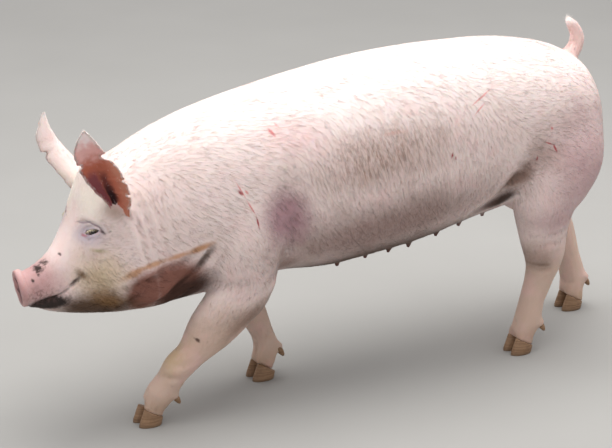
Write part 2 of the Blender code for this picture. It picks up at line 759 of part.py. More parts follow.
def disc_frame():
    """The disc's forward, upward and sideways directions, and a point on its back."""
    turn = Matrix.Rotation(-DISC_YAW, 3, "Z")
    forward = turn @ Vector((-math.cos(DISC_LEAN), 0, -math.sin(DISC_LEAN)))
    up = turn @ Vector((-math.sin(DISC_LEAN), 0, math.cos(DISC_LEAN)))
    return forward, up, turn @ Vector((0, 1, 0)), DISC_FRONT - forward * DISC_THICKNESS


def snout():
    """The flat disc of the nose, leaning forward, with two nostrils."""
    forward, up, aside, back = disc_frame()
    shape = bmesh.new()
    bmesh.ops.create_cone(
        shape, cap_ends=True, segments=26, radius1=1, radius2=1, depth=DISC_THICKNESS
    )
    bmesh.ops.scale(shape, vec=(DISC_HALF_HEIGHT, DISC_HALF_WIDTH, 1), verts=shape.verts)
    rims = [edge for edge in shape.edges if abs(edge.verts[0].co.z - edge.verts[1].co.z) < GAP]
    bmesh.ops.bevel(
        shape, geom=rims, offset=DISC_ROUNDING, segments=3, profile=0.5, affect="EDGES", material=-1
    )
    face = max(shape.faces, key=lambda face: face.calc_center_median().z)
    bmesh.ops.inset_individual(shape, faces=[face], thickness=DISC_ROUNDING, depth=-DISC_DISH)
    for _ in range(2):
        bmesh.ops.inset_individual(shape, faces=[face], thickness=DISC_RING)
    turn = Matrix((up, aside, forward)).transposed().to_4x4()
    place = Matrix.Translation(back + forward * DISC_THICKNESS / 2) @ turn
    bmesh.ops.transform(shape, matrix=place, verts=shape.verts)
    bmesh.ops.triangulate(shape, faces=shape.faces)
    made = from_bmesh("snout", shape)
    for side in (-1, 1):
        centre = DISC_FRONT + up * NOSTRIL_RISE + aside * side * NOSTRIL_ASIDE
        combined(made, ball("nostril", centre, NOSTRIL_RADII, -DISC_LEAN, detail=2), "DIFFERENCE")
    return largest_piece(made)


def ear_of(name, head):
    """A cupped ear with torn edges, set against the head."""
    side = side_of(name)
    key = "left" if side < 0 else "right"
    root, tip = mirrored(EAR_ROOT, side), mirrored(EAR_TIPS[key], side)
    length = (tip - root).length
    along = (tip - root).normalized()
    cup = mirrored(EAR_FACING, side)
    cup = (cup - along * cup.dot(along)).normalized()
    front = along.cross(cup)
    front *= -math.copysign(1, front.x)
    outline = curve_through(EAR_OUTLINE[key], 5)
    rings = []
    for row in range(EAR_ROWS + 1):
        share = EAR_START + (1 - EAR_START) * row / EAR_ROWS
        half = {
            edge: np.interp(share, outline[:, 0], outline[:, column])
            - sum(
                depth * max(0.0, 1 - ((share - place) / reach) ** 2)
                for notch_side, notch_edge, place, depth, reach in EAR_NOTCHES
                if notch_side == key and notch_edge == edge
            )
            for edge, column in (("front", 1), ("rear", 2))
        }
        curl = math.radians(np.interp(share, outline[:, 0], outline[:, 3]))
        spine = root + along * length * share + cup * EAR_BEND[key] * math.sin(math.pi * max(0.0, share) ** 1.3)
        thick = EAR_THICKNESS[0] + (EAR_THICKNESS[1] - EAR_THICKNESS[0]) * max(0.0, share)
        inner, outer = [], []
        for column in range(EAR_COLUMNS + 1):
            place = 2 * column / EAR_COLUMNS - 1
            toward = front if place < 0 else -front
            radius = half["front" if place < 0 else "rear"] / curl
            angle = curl * abs(place)
            middle = spine + toward * radius * math.sin(angle) + cup * radius * (1 - math.cos(angle))
            face = cup * math.cos(angle) - toward * math.sin(angle)
            reach = thick * (1 - 0.45 * place**2) / 2
            inner.append(middle + face * reach)
            outer.append(middle - face * reach)
        rings.append(inner + outer[::-1])
    made = skin_over(name, rings)
    thinned(made, TRIANGLES["ear"])
    combined(made, grown(head, "head grown"), "DIFFERENCE")
    return largest_piece(made)


def trunk_of(body):
    """Everything behind the head, without its legs."""
    made = copy_of(body, "torso")
    halved(made, HEAD_CUT[0] + HEAD_CUT[1] * CUT_MARGIN, -HEAD_CUT[1])
    for foot in LEG_CUTS:
        combined(made, leg_block(foot, -CUT_MARGIN), "DIFFERENCE")
    largest_piece(made)
    thinned(made, TRIANGLES["trunk"])
    halved(made, HEAD_CUT[0] - HEAD_CUT[1] * GAP / 2, -HEAD_CUT[1])
    for foot in LEG_CUTS:
        combined(made, leg_block(foot, GAP / 2), "DIFFERENCE")
    return largest_piece(made)


def leg_planes(foot, grow):
    """The planes around the region that one leg fills below the trunk, each with its inward normal."""
    side = side_of(foot)
    top, (fore_top, rear_top), (fore_floor, rear_floor) = LEG_CUTS[foot]
    inner = LEG_CUT_INNER[foot.split("_")[0]]
    fore = Vector((top, 0, fore_floor - fore_top)).normalized()
    rear = Vector((-top, 0, rear_top - rear_floor)).normalized()
    planes = [
        (Vector((0, 0, top)), Vector((0, 0, -1))),
        (Vector((0, side * inner, 0)), Vector((0, side, 0))),
        (Vector((fore_top, 0, top)), fore),
        (Vector((rear_top, 0, top)), rear),
    ]
    return [(point - normal * grow, normal) for point, normal in planes]


def leg_block(foot, grow):
    """The region that one leg fills below the trunk, as a cutter."""
    made = block("region", (-BEYOND, -BEYOND, -BEYOND), (2 * BEYOND, BEYOND, BEYOND))
    for point, normal in leg_planes(foot, grow):
        halved(made, point, normal)
    return made


def leg_of(foot, body):
    """One leg below the trunk, down to its coronet."""
    made = copy_of(body, f"{foot}_leg")
    for grow in (CUT_MARGIN, -GAP / 2):
        for point, normal in leg_planes(foot, grow):
            halved(made, point, normal)
        if grow > 0:
            largest_piece(made)
            thinned(made, TRIANGLES["limb"])
    halved(made, *coronet(foot))
    return largest_piece(made)


def parted(made, name, point, normal):
    """Parts off what lies on the normal's side as a node of its own, and leaves the rest."""
    beyond = copy_of(made, name)
    halved(beyond, point + normal * GAP / 2, normal)
    halved(made, point - normal * GAP / 2, -normal)
    largest_piece(made)
    return largest_piece(beyond)


def tail_of(torso):
    """The short tail, curled up and forward, set against the rump."""
    made = limb_of("tail", [(*place, radius, radius) for place, radius in TAIL], steps=2, sides=12)
    combined(made, grown(torso, "torso grown"), "DIFFERENCE")
    return largest_piece(made)


def finish_for(name):
    """The finish of a node by its name."""
    for key in ("ear", "snout", "eye", "dewclaw", "hoof"):
        if key in name:
            return key
    return "skin"


def dress(made):
    """Gives a node its own material, and smooth shading."""
    colour, roughness = FINISHES[finish_for(made.name)]
    material = bpy.data.materials.new(made.name)
    material.use_nodes = True
    shader = material.node_tree.nodes["Principled BSDF"]
    shader.inputs["Base Color"].default_value = (*colour, 1)
    shader.inputs["Roughness"].default_value = roughness
    shader.inputs["Metallic"].default_value = 0.0
    made.data.materials.clear()
    made.data.materials.append(material)
    made.data.shade_smooth()
    made.data.set_sharp_from_angle(angle=SHARP_ANGLE)


def centre_over_floor(nodes):
    """Moves the nodes so that the origin is on the floor under the middle of their box."""
    rows = np.vstack([points_of(made) for made in nodes])
    low, high = rows.min(axis=0), rows.max(axis=0)
    middle = Vector(((low[0] + high[0]) / 2, (low[1] + high[1]) / 2, FLOOR))
    for made in nodes:
        made.data.transform(Matrix.Translation(-middle))


def main():
    """Builds the sow."""
    for old in list(bpy.data.objects):
        bpy.data.objects.remove(old)
    body = softened(fused("body", body_blocks(), BODY_VOXEL), SOFTENING)
    softened(body, 150, SOFT_ZONES)
    shape_head(body)
    shape_body(body)
    head = head_of(body)
    torso = trunk_of(body)
    neck = parted(torso, "neck", *NECK_CUT)
    nodes = [head, neck, torso, snout(), tail_of(torso)]
    nodes += [ear_of(name, head) for name in ("ear_left", "ear_right")]
    nodes += [eye(side) for side in (-1, 1)]
    lower = halved(copy_of(body, "lower body"), (0, 0, LOWER_BODY), (0, 0, -1))
    for foot in FEET:
        leg = leg_of(foot, lower)
        shank = parted(leg, f"{foot}_foot", Vector((0, 0, FOOT_CUT[foot.split("_")[0]])), Vector((0, 0, -1)))
        nodes += [leg, shank]
        for aside in (-1, 1):
            nodes.append(hoof(foot, aside))
            nodes.append(dewclaw(foot, aside, shank))
    discard(body, lower)
    for made in nodes:
        dress(made)
    centre_over_floor(nodes)


main()
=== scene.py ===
"""The looks of a young white sow, walking: one skin over the solids, bristles, eyes, hooves and the studio."""

import logging
import math
from collections.abc import Iterable, Sequence
from dataclasses import dataclass
from enum import Enum

import bmesh
import bpy
import numpy as np
from mathutils import Matrix, Vector
from mathutils.bvhtree import BVHTree
from mathutils.kdtree import KDTree


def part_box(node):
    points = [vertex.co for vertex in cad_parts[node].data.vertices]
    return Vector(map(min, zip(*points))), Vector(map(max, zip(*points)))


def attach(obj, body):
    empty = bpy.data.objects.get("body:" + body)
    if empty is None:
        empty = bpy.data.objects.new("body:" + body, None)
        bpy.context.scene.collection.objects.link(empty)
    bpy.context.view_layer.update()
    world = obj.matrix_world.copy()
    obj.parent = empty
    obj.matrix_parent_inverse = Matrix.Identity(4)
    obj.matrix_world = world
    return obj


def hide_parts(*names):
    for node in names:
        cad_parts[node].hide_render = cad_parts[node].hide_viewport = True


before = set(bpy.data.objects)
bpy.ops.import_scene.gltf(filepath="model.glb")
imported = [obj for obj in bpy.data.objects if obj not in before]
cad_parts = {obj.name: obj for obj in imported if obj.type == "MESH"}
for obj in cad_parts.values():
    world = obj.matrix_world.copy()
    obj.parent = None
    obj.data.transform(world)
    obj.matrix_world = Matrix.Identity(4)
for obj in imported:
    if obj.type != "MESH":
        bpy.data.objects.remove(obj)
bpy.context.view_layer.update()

LOG = logging.getLogger("sow")

# The solids were drawn about another origin. The left eye's middle there gives the shift between the two
EYE_DRAWN = Vector((-0.4624, -0.0525, 0.4624))
eye_low, eye_high = (Vector(corner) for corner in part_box("eye_left"))
SHIFT = (eye_low + eye_high) / 2 - EYE_DRAWN

SMALL = 1e-9
MM = 1000


class Side(Enum):
    """A side of the animal, as the sign of its y."""

    LEFT = -1
    RIGHT = 1


class Axis(Enum):
    """The turn between a drawn direction and a streak's own length."""

    SHOULDER = 27
    FLANK = 74


def drawn(x: float, y: float, z: float, side: Side = Side.LEFT) -> Vector:
    """A drawn point of the left side, on either side, in the frame of the solids."""
    return Vector((x, -side.value * y, z)) + SHIFT


def mirrored(place: Vector, side: Side) -> Vector:
    """A drawn place or way of the left side, on either side."""
    return Vector((place.x, -side.value * place.y, place.z))


def curve_through(points: Sequence[Sequence[float]], steps: int) -> np.ndarray:
    """A Catmull-Rom curve through rows of numbers.

    Args:
        points: The rows to pass through.
        steps: The spans between each two rows.

    Returns:
        The rows of the curve.
    """
    rows = np.array(points, float)
    padded = np.vstack([2 * rows[0] - rows[1], rows, 2 * rows[-1] - rows[-2]])
    share = np.linspace(0, 1, steps, endpoint=False)[:, None]
    spans = []
    for a, b, c, d in zip(padded, padded[1:], padded[2:], padded[3:]):
        spans.append(
            b
            + 0.5 * share * (c - a)
            + share**2 * (a - 2.5 * b + 2 * c - 0.5 * d)
            + share**3 * (1.5 * b - 1.5 * c + 0.5 * d - 0.5 * a)
        )
    return np.vstack([*spans, rows[-1:]])


def unit(rows: np.ndarray) -> np.ndarray:
    """Rows of vectors at length one."""
    return rows / (np.linalg.norm(rows, axis=1)[:, None] + SMALL)


# Objects and meshes


def link(name: str, mesh: bpy.types.Mesh) -> bpy.types.Object:
    """A new object of this mesh in the scene."""
    made = bpy.data.objects.new(name, mesh)
    bpy.context.scene.collection.objects.link(made)
    return made


def from_bmesh(name: str, shape: bmesh.types.BMesh) -> bpy.types.Object:
    """A new object of this bmesh, which it frees."""
    mesh = bpy.data.meshes.new(name)
    shape.to_mesh(mesh)
    shape.free()
    return link(name, mesh)


def discard(*objects: bpy.types.Object) -> None:
    """Removes helper objects."""
    for made in objects:
        bpy.data.objects.remove(made)


def settle(made: bpy.types.Object) -> bpy.types.Object:
    """Applies an object's modifiers to its mesh.

    Args:
        made: The object.

    Returns:
        The same object, with no modifier left.
    """
    graph = bpy.context.evaluated_depsgraph_get()
    mesh = bpy.data.meshes.new_from_object(made.evaluated_get(graph))
    made.modifiers.clear()
    made.data = mesh
    return made


def combined(made: bpy.types.Object, tool: bpy.types.Object, operation: str) -> None:
    """Cuts or joins one closed object with another, which it removes.

    Args:
        made: The object that is kept.
        tool: The object that cuts it or joins it.
        operation: UNION or DIFFERENCE.
    """
    step = made.modifiers.new("combine", "BOOLEAN")
    step.object = tool
    step.operation = operation
    step.solver = "MANIFOLD"
    settle(made)
    discard(tool)


def ordered(made: bpy.types.Object) -> None:
    """Puts the faces of an object in a fixed order, because the boolean solver leaves them in any."""
    faces = []
    for polygon in made.data.polygons:
        corners = list(polygon.vertices)
        first = corners.index(min(corners))
        faces.append(corners[first:] + corners[:first])
    mesh = bpy.data.meshes.new("ordered")
    mesh.from_pydata(points_of(made).tolist(), [], sorted(faces))
    made.data = mesh


def remeshed(made: bpy.types.Object, voxel: float) -> bpy.types.Object:
    """Gives an object one even closed surface."""
    step = made.modifiers.new("even", "REMESH")
    step.mode = "VOXEL"
    step.voxel_size = voxel
    step.use_smooth_shade = True
    return settle(made)


def levelled(made: bpy.types.Object, weights: np.ndarray) -> str:
    """Gives an object a vertex group of weights in hundredths, and returns its name."""
    group = made.vertex_groups.new(name="levels")
    levels = np.round(weights * 100).astype(int)
    for level in np.unique(levels):
        group.add(np.nonzero(levels == level)[0].tolist(), level / 100, "REPLACE")
    return group.name


def tree_of(rows: Sequence[Sequence[float]]) -> KDTree:
    """A search tree of the first three numbers of each row."""
    tree = KDTree(len(rows))
    for index, row in enumerate(rows):
        tree.insert(row[:3], index)
    tree.balance()
    return tree


def held(made: bpy.types.Object, rounds: int, weights: np.ndarray) -> None:
    """Smooths a mesh without letting it shrink.

    Args:
        made: The object.
        rounds: The rounds of smoothing.
        weights: One number for each vertex, from 0 to 1.
    """
    passes = []
    for _ in range(3):
        smoothed(made, rounds, weights)
        passes.append(points_of(made))
    put_points(made, 3 * passes[0] - 3 * passes[1] + passes[2])


def smoothed(made: bpy.types.Object, rounds: int, weights: np.ndarray | None = None) -> None:
    """Smooths a mesh, more where the weights are high.

    Args:
        made: The object.
        rounds: The rounds of smoothing.
        weights: One number for each vertex, from 0 to 1, or nothing for the whole.
    """
    step = made.modifiers.new("smooth", "SMOOTH")
    step.factor = 0.5
    step.iterations = rounds
    if weights is not None:
        step.vertex_group = levelled(made, np.clip(weights, 0, 1))
    settle(made)
    made.vertex_groups.clear()


def points_of(made: bpy.types.Object) -> np.ndarray:
    """The vertices of an object as rows."""
    rows = np.empty(len(made.data.vertices) * 3)
    made.data.vertices.foreach_get("co", rows)
    return rows.reshape(-1, 3)


def normals_of(made: bpy.types.Object) -> np.ndarray:
    """The vertex normals of an object as rows."""
    rows = np.empty(len(made.data.vertices) * 3)
    made.data.vertex_normals.foreach_get("vector", rows)
    return rows.reshape(-1, 3)


def put_points(made: bpy.types.Object, rows: np.ndarray) -> None:
    """Moves the vertices of an object to these rows."""
    made.data.vertices.foreach_set("co", rows.ravel())
    made.data.update()


def ball(name: str, centre: Vector, radii: Sequence[float], turn: Matrix | None = None) -> bpy.types.Object:
    """A closed ellipsoid.

    Args:
        name: The object's name.
        centre: Its middle.
        radii: Its three half sizes.
        turn: A rotation of it about its middle.

    Returns:
        The object.
    """
    shape = bmesh.new()
    bmesh.ops.create_icosphere(shape, subdivisions=5, radius=1)
    bmesh.ops.scale(shape, vec=radii, verts=shape.verts)
    place = Matrix.Translation(centre) @ (turn or Matrix.Identity(4))
    bmesh.ops.transform(shape, matrix=place, verts=shape.verts)
    return from_bmesh(name, shape)


def facing(forward: Vector, up: Vector) -> Matrix:
    """A turn that brings x to forward and z near up."""
    side = up.cross(forward).normalized()
    return Matrix((forward, side, forward.cross(side))).transposed().to_4x4()


def path_of(points: Iterable[Sequence[float]], side: Side) -> np.ndarray:
    """A smooth path through drawn points of the left side in millimetres, on either side."""
    return curve_through([drawn(*np.array(point) / MM, side) for point in points], 8)


def distance_to(rows: np.ndarray, line: np.ndarray) -> np.ndarray:
    """How far each row lies from a path."""
    nearest = np.full(len(rows), np.inf)
    for start, end in zip(line, line[1:]):
        run = end - start
        share = np.clip(((rows - start) @ run) / (run @ run + SMALL), 0, 1)
        nearest = np.minimum(nearest, np.linalg.norm(rows - start - share[:, None] * run, axis=1))
    return nearest


@dataclass(frozen=True)
class Swell:
    """A place on the left, in millimetres, where the skin stands out by a height in metres."""

    middle: tuple[float, float, float]
    radii: tuple[float, float, float]
    height: float
    sides: tuple[Side, ...] = tuple(Side)

    def press(self, rows: np.ndarray, normals: np.ndarray) -> None:
        """Moves rows of points along their normals."""
        for side in self.sides:
            middle = np.array(drawn(*np.array(self.middle) / MM, side))
            near = (rows - middle) / (np.array(self.radii) / MM)
            rows += normals * (self.height * np.exp(-(near**2).sum(axis=1)))[:, None]


@dataclass(frozen=True)
class Fold:
    """A furrow along a path on the left in millimetres, with a soft lip beside it, sized in metres."""

    path: tuple[tuple[float, float, float], ...]
    width: float
    depth: float
    lip: float = 0.35
    sides: tuple[Side, ...] = tuple(Side)

    def press(self, rows: np.ndarray, normals: np.ndarray) -> None:
        """Moves rows of points along their normals."""
        for side in self.sides:
            line = path_of(self.path, side)
            low, high = line.min(axis=0) - 5 * self.width, line.max(axis=0) + 5 * self.width
            close = np.nonzero(((rows > low) & (rows < high)).all(axis=1))[0]
            away = distance_to(rows[close], line) / self.width
            ends = np.minimum(
                np.linalg.norm(rows[close] - line[0], axis=1),
                np.linalg.norm(rows[close] - line[-1], axis=1),
            )
            fade = np.clip(0.35 + ends / (6 * self.width), 0, 1)
            shape = np.exp(-(away**2)) - self.lip * np.exp(-((away - 2.1) ** 2) / 1.2)
            rows[close] -= normals[close] * (self.depth * fade * shape)[:, None]


# Forms that the skin adds to the solids, all drawn on the left, with their places in millimetres
ON_LEFT, ON_RIGHT = (Side.LEFT,), (Side.RIGHT,)
EYE_OUT = Vector((-0.40, -0.85, 0.30)).normalized()
EYE_RADIUS = 0.0155
EYE_CLEAR = 0.026
IRIS_REACH = 0.0095
PUPIL_REACH = 0.0048
SLIT = (0.018, 0.0165, 0.0046)
SLIT_TILT = math.radians(-12)
MOUTH = (
    (-597, 0, 304),
    (-588, -24, 314),
    (-569, -37, 324),
    (-542, -48, 335),
    (-525, -52, 346),
    (-508, -63, 364),
)
DISC_FRONT = Vector((-0.6115, 0, 0.3450))
DISC_LEAN = math.radians(10)
DISC_YAW = math.radians(9)
DISC_HALF = (0.0405, 0.0395)
NOSTRIL_ASIDE = 0.0150

UPPER_LID = (
    (-487, -48, 462),
    (-482, -53, 470),
    (-472, -62, 478),
    (-459, -75, 479),
    (-451, -84, 471),
)
LID_CREASE = (
    (-490, -30, 470),
    (-484, -36, 486),
    (-470, -62, 487),
    (-458, -78, 479),
    (-450, -87, 465),
)
LIDS = (
    Fold(UPPER_LID, 0.0026, 0.0012),
    Fold(LID_CREASE, 0.0028, 0.0020),
    Fold(((-486, -53, 458), (-480, -66, 453), (-470, -77, 455), (-455, -86, 461)), 0.0024, 0.0007),
    Fold(((-489, -56, 445), (-479, -75, 440), (-466, -85, 443)), 0.0034, 0.0006),
    Fold(((-452, -83, 468), (-445, -88, 462), (-440, -91, 454)), 0.0022, 0.0010),
)
FACE = (
    Swell((-530, -50, 322), (26, 22, 10), 0.0022),
    Swell((-540, -47, 350), (30, 20, 14), 0.0018),
    Fold(MOUTH, 0.0026, 0.0026, 0.12),
    Fold(((-516, -59, 356), (-508, -63, 366), (-503, -65, 374)), 0.0040, 0.0045),
    Fold(((-505, -63, 352), (-497, -67, 364), (-494, -69, 379)), 0.0035, 0.0022),
    Fold(((-595.5, 0, 386), (-591.5, -28, 377), (-585.5, -38, 350), (-585.5, -34, 324)), 0.0032, 0.0026, 0.2),
    Fold(((-582, 0, 391), (-577, -26, 381), (-571, -40, 357)), 0.0030, 0.0015),
    Fold(((-570, 0, 395), (-565, -26, 386), (-557, -41, 364)), 0.0030, 0.0012),
    Fold(((-554, 0, 404.5), (-549, -24, 396), (-540, -40, 375)), 0.0032, 0.0008),
    Fold(((-492, -66, 433), (-470, -82, 426), (-448, -90, 432)), 0.006, 0.0014),
)
THROAT = (
    Fold(((-418, -108, 345), (-380, -112, 352), (-330, -118, 372), (-270, -128, 400)), 0.008, 0.0020),
    Fold(((-375, -85, 292), (-330, -92, 302), (-285, -108, 325), (-245, -125, 355)), 0.008, 0.0040),
    Fold(((-333, -95, 304), (-295, -108, 336), (-248, -120, 380), (-228, -129, 410)), 0.009, 0.0050),
    Fold(((-330, -60, 272), (-290, -78, 285), (-250, -98, 310)), 0.008, 0.0040),
    Swell((-345, -100, 320), (50, 45, 22), 0.0040),
    Swell((-285, -100, 300), (45, 45, 22), 0.0040),
    Fold(((-392, -100, 500), (-380, -107, 470), (-372, -112, 430), (-362, -115, 395)), 0.006, 0.0020),
    Fold(((-372, -98, 520), (-362, -108, 480), (-352, -114, 440)), 0.007, 0.0018),
    Fold(((-350, -104, 540), (-338, -112, 490), (-330, -118, 440)), 0.008, 0.0012),
)
BODY = (
    Swell((580, -138, 247), (20, 20, 16), 0.0060, ON_LEFT),
    Swell((760, -140, 255), (22, 18, 16), 0.0045, ON_RIGHT),
    Fold(((554, -116, 224), (575, -136, 216), (602, -140, 216)), 0.006, 0.0045, sides=ON_LEFT),
    Fold(((566, -136, 285), (600, -152, 282), (640, -142, 290)), 0.007, 0.0014, sides=ON_LEFT),
    Fold(((562, -140, 305), (600, -156, 303), (640, -148, 312)), 0.007, 0.0012, sides=ON_LEFT),
    Fold(((-50, -135, 352), (-46, -150, 392), (-50, -155, 440)), 0.012, 0.0040),
    Fold(((-100, -150, 318), (-68, -146, 330), (-40, -138, 356)), 0.010, 0.0030),
    Fold(((492, -140, 392), (500, -152, 430), (512, -158, 476)), 0.014, 0.0045),
    Fold(((428, -110, 376), (456, -121, 396), (478, -132, 416), (505, -146, 452)), 0.010, 0.0075),
    Fold(((-215, -93, 315), (-199, -129, 323), (-183, -143, 322), (-162, -153, 326)), 0.010, 0.0030),
    Fold(((470, -148, 400), (470, -158, 450), (482, -160, 500)), 0.014, 0.0018),
    Swell((-30, -130, 340), (40, 30, 18), 0.0030),
    Fold(((788, 0, 630), (806, 0, 600), (812, 0, 570)), 0.006, 0.0030),
)
LEGS = (
    Fold(((-318, -98, 150), (-290, -112, 150), (-262, -104, 160)), 0.006, 0.0016, sides=ON_LEFT),
    Fold(((-330, -84, 124), (-304, -101, 120), (-276, -96, 128)), 0.005, 0.0020, sides=ON_LEFT),
    Swell((-312, -88, 138), (16, 20, 14), 0.0026, ON_LEFT),
    Fold(((-346, -60, 84), (-350, -52, 64), (-354, -49, 44)), 0.0035, 0.0050, sides=ON_LEFT),
    Fold(((-30, -66, 84), (-36, -60, 64), (-40, -58, 44)), 0.0035, 0.0050, sides=ON_RIGHT),
    Fold(((552, -90, 86), (545, -87, 66), (540, -86, 46)), 0.0035, 0.0050, sides=ON_LEFT),
    Fold(((798, -90, 86), (794, -87, 66), (790, -86, 46)), 0.0035, 0.0050, sides=ON_RIGHT),
)


@dataclass(frozen=True)
class Notch:
    """A torn notch in an ear's edge."""

    front: bool
    share: float
    depth: float
    reach: float


@dataclass
class Ear:
    """One cupped ear with torn edges."""

    side: Side
    tip: tuple[float, float, float]
    bend: float
    outline: tuple[tuple[float, float, float, float], ...]
    notches: tuple[Notch, ...]
    root: tuple[float, float, float] = (-0.418, -0.071, 0.514)
    cup: tuple[float, float, float] = (-0.50, -0.82, 0.20)
    start: float = -0.18
    rows: int = 110
    columns: int = 44
    thickness: tuple[float, float] = (0.0078, 0.0030)

    def half_widths(self, share: float) -> tuple[float, float, float]:
        """Front and rear widths round the cup and its curl, at a share of the ear's length."""
        table = curve_through(self.outline, 8)
        front, rear, curl = (np.interp(share, table[:, 0], table[:, column]) for column in (1, 2, 3))
        for notch in self.notches:
            cut = notch.depth * max(0.0, 1 - abs((share - notch.share) / notch.reach) ** 2.5)
            if notch.front:
                front -= cut
            else:
                rear -= cut
        ragged = 0.0007 * math.sin(37 * share + 3) + 0.0004 * math.sin(83 * share)
        return front + ragged, rear - ragged, math.radians(curl)

    def place(self, column: int) -> float:
        """How far across the cup a column lies, from -1 at the front edge to 1 at the rear."""
        return math.sin(math.pi / 2 * (2 * column / self.columns - 1))

    def ring(self, share: float) -> tuple[list[Vector], list[Vector]]:
        """The points inside and outside the cup across one place of the ear's length."""
        root, tip = drawn(*self.root, self.side), drawn(*self.tip, self.side)
        along = (tip - root).normalized()
        cup = mirrored(Vector(self.cup), self.side)
        cup = (cup - along * cup.dot(along)).normalized()
        front = along.cross(cup)
        front *= -math.copysign(1, front.x)
        arch = self.bend * math.sin(math.pi * max(0.0, share) ** 1.3)
        spine = root + along * (tip - root).length * share + cup * arch
        widths = self.half_widths(share)
        thick = self.thickness[0] + (self.thickness[1] - self.thickness[0]) * max(0.0, share)
        inner, outer = [], []
        for column in range(self.columns + 1):
            place = self.place(column)
            toward = front if place < 0 else -front
            radius = widths[0 if place < 0 else 1] / widths[2]
            angle = widths[2] * abs(place)
            middle = spine + toward * radius * math.sin(angle) + cup * radius * (1 - math.cos(angle))
            face = cup * math.cos(angle) - toward * math.sin(angle)
            reach = thick * math.sqrt(max(0.0, 1 - place**12)) * (1 - 0.35 * place**2) / 2
            ridge = 0.0018 * math.cos(13 * place + 4 * share) * math.exp(-(((share - 0.20) / 0.24) ** 2))
            inner.append(middle + face * (reach + ridge * (1 - place**4)))
            outer.append(middle - face * reach)
        return inner, outer

    def build(self) -> tuple[bpy.types.Object, np.ndarray, np.ndarray]:
        """Makes the ear.

        Returns:
            The closed object, the rows of its inner face with their share and place, and those of its outer face.
        """
        shape = bmesh.new()
        edges, inside, outside = [], [], []
        for row in range(self.rows + 1):
            share = self.start + (0.995 - self.start) * row / self.rows
            inner, outer = self.ring(share)
            corners = [shape.verts.new(point) for point in (*inner, *outer[-2:0:-1])]
            edges += [shape.edges.new(pair) for pair in zip(corners, corners[1:] + corners[:1])]
            for column, (near, far) in enumerate(zip(inner, outer)):
                inside.append((*near, share, self.place(column)))
                outside.append((*far, share, self.place(column)))
        bmesh.ops.bridge_loops(shape, edges=edges)
        bmesh.ops.holes_fill(shape, edges=shape.edges, sides=0)
        bmesh.ops.triangulate(shape, faces=shape.faces)
        bmesh.ops.recalc_face_normals(shape, faces=shape.faces)
        return from_bmesh("ear", shape), np.array(inside), np.array(outside)


LEFT_EAR = Ear(
    side=Side.LEFT,
    tip=(-0.505, -0.124, 0.706),
    bend=0.010,
    outline=(
        (-0.20, 0.012, 0.036, 100),
        (0.00, 0.013, 0.046, 90),
        (0.15, 0.018, 0.056, 75),
        (0.30, 0.027, 0.057, 62),
        (0.50, 0.036, 0.051, 50),
        (0.68, 0.039, 0.036, 40),
        (0.80, 0.037, 0.024, 35),
        (0.90, 0.027, 0.014, 30),
        (1.00, 0.003, 0.003, 26),
    ),
    notches=(
        Notch(True, 0.67, 0.008, 0.030),
        Notch(False, 0.70, 0.018, 0.045),
        Notch(False, 0.41, 0.011, 0.026),
        Notch(False, 0.22, 0.011, 0.024),
        Notch(False, 0.06, 0.007, 0.022),
    ),
)
RIGHT_EAR = Ear(
    side=Side.RIGHT,
    tip=(-0.493, -0.116, 0.676),
    bend=0.020,
    outline=(
        (-0.20, 0.034, 0.042, 105),
        (0.00, 0.034, 0.052, 96),
        (0.15, 0.034, 0.053, 80),
        (0.30, 0.033, 0.042, 64),
        (0.50, 0.035, 0.026, 50),
        (0.68, 0.037, 0.014, 40),
        (0.80, 0.034, 0.008, 35),
        (0.90, 0.022, 0.005, 30),
        (1.00, 0.003, 0.003, 26),
    ),
    notches=(Notch(True, 0.58, 0.008, 0.040),),
)


@dataclass(frozen=True)
class Teats:
    """Two rows of small blunt nipples."""

    tips: tuple[tuple[float, float], ...] = (
        (0.1105, 0.2800),
        (0.1810, 0.2855),
        (0.2400, 0.2880),
        (0.2930, 0.2905),
        (0.3630, 0.3040),
        (0.4225, 0.3170),
        (0.4860, 0.3295),
    )
    aside: float = 0.050
    profile: tuple[tuple[float, float], ...] = (
        (0.0098, 0.0210),
        (0.0076, 0.0155),
        (0.0060, 0.0115),
        (0.0049, 0.0085),
        (0.0042, 0.0060),
        (0.0036, 0.0044),
        (0.0026, 0.0034),
        (0.0012, 0.0029),
        (0.0, 0.0028),
    )

    def places(self) -> Iterable[tuple[float, float, float]]:
        """How far along, aside and up the tip of each left teat is."""
        for index, (along, tip) in enumerate(self.tips):
            yield along, self.aside * (1 - 0.03 * index), tip

    def covered(self, rows: np.ndarray, reach: float, height: float) -> np.ndarray:
        """How far each drawn row lies on a teat, from 0 to 1."""
        share = np.zeros(len(rows))
        for along, aside, tip in self.places():
            close = np.hypot(rows[:, 0] - along, np.abs(rows[:, 1]) - aside) < reach
            share = np.maximum(share, close * np.clip((tip + height - rows[:, 2]) / 0.004, 0, 1))
        return share

    def build(self) -> list[bpy.types.Object]:
        """One closed nipple for each teat."""
        made = []
        for along, aside, tip in self.places():
            for side in Side:
                shape = bmesh.new()
                corners = [shape.verts.new((radius, 0, height)) for radius, height in ((0.0, 0.022), *self.profile)]
                edges = [shape.edges.new(pair) for pair in zip(corners, corners[1:])]
                turned = {"cent": (0, 0, 0), "axis": (0, 0, 1), "angle": 2 * math.pi, "steps": 20, "use_merge": True}
                bmesh.ops.spin(shape, geom=[*corners, *edges], **turned)
                bmesh.ops.remove_doubles(shape, verts=shape.verts, dist=1e-6)
                bmesh.ops.recalc_face_normals(shape, faces=shape.faces)
                lean = Matrix.Rotation(math.radians(6 + 5 * math.sin(along * 36)), 4, "Y")
                place = drawn(along, -aside, tip, side)
                bmesh.ops.transform(shape, matrix=Matrix.Translation(place) @ lean, verts=shape.verts)
                made.append(from_bmesh("teat", shape))
        return made


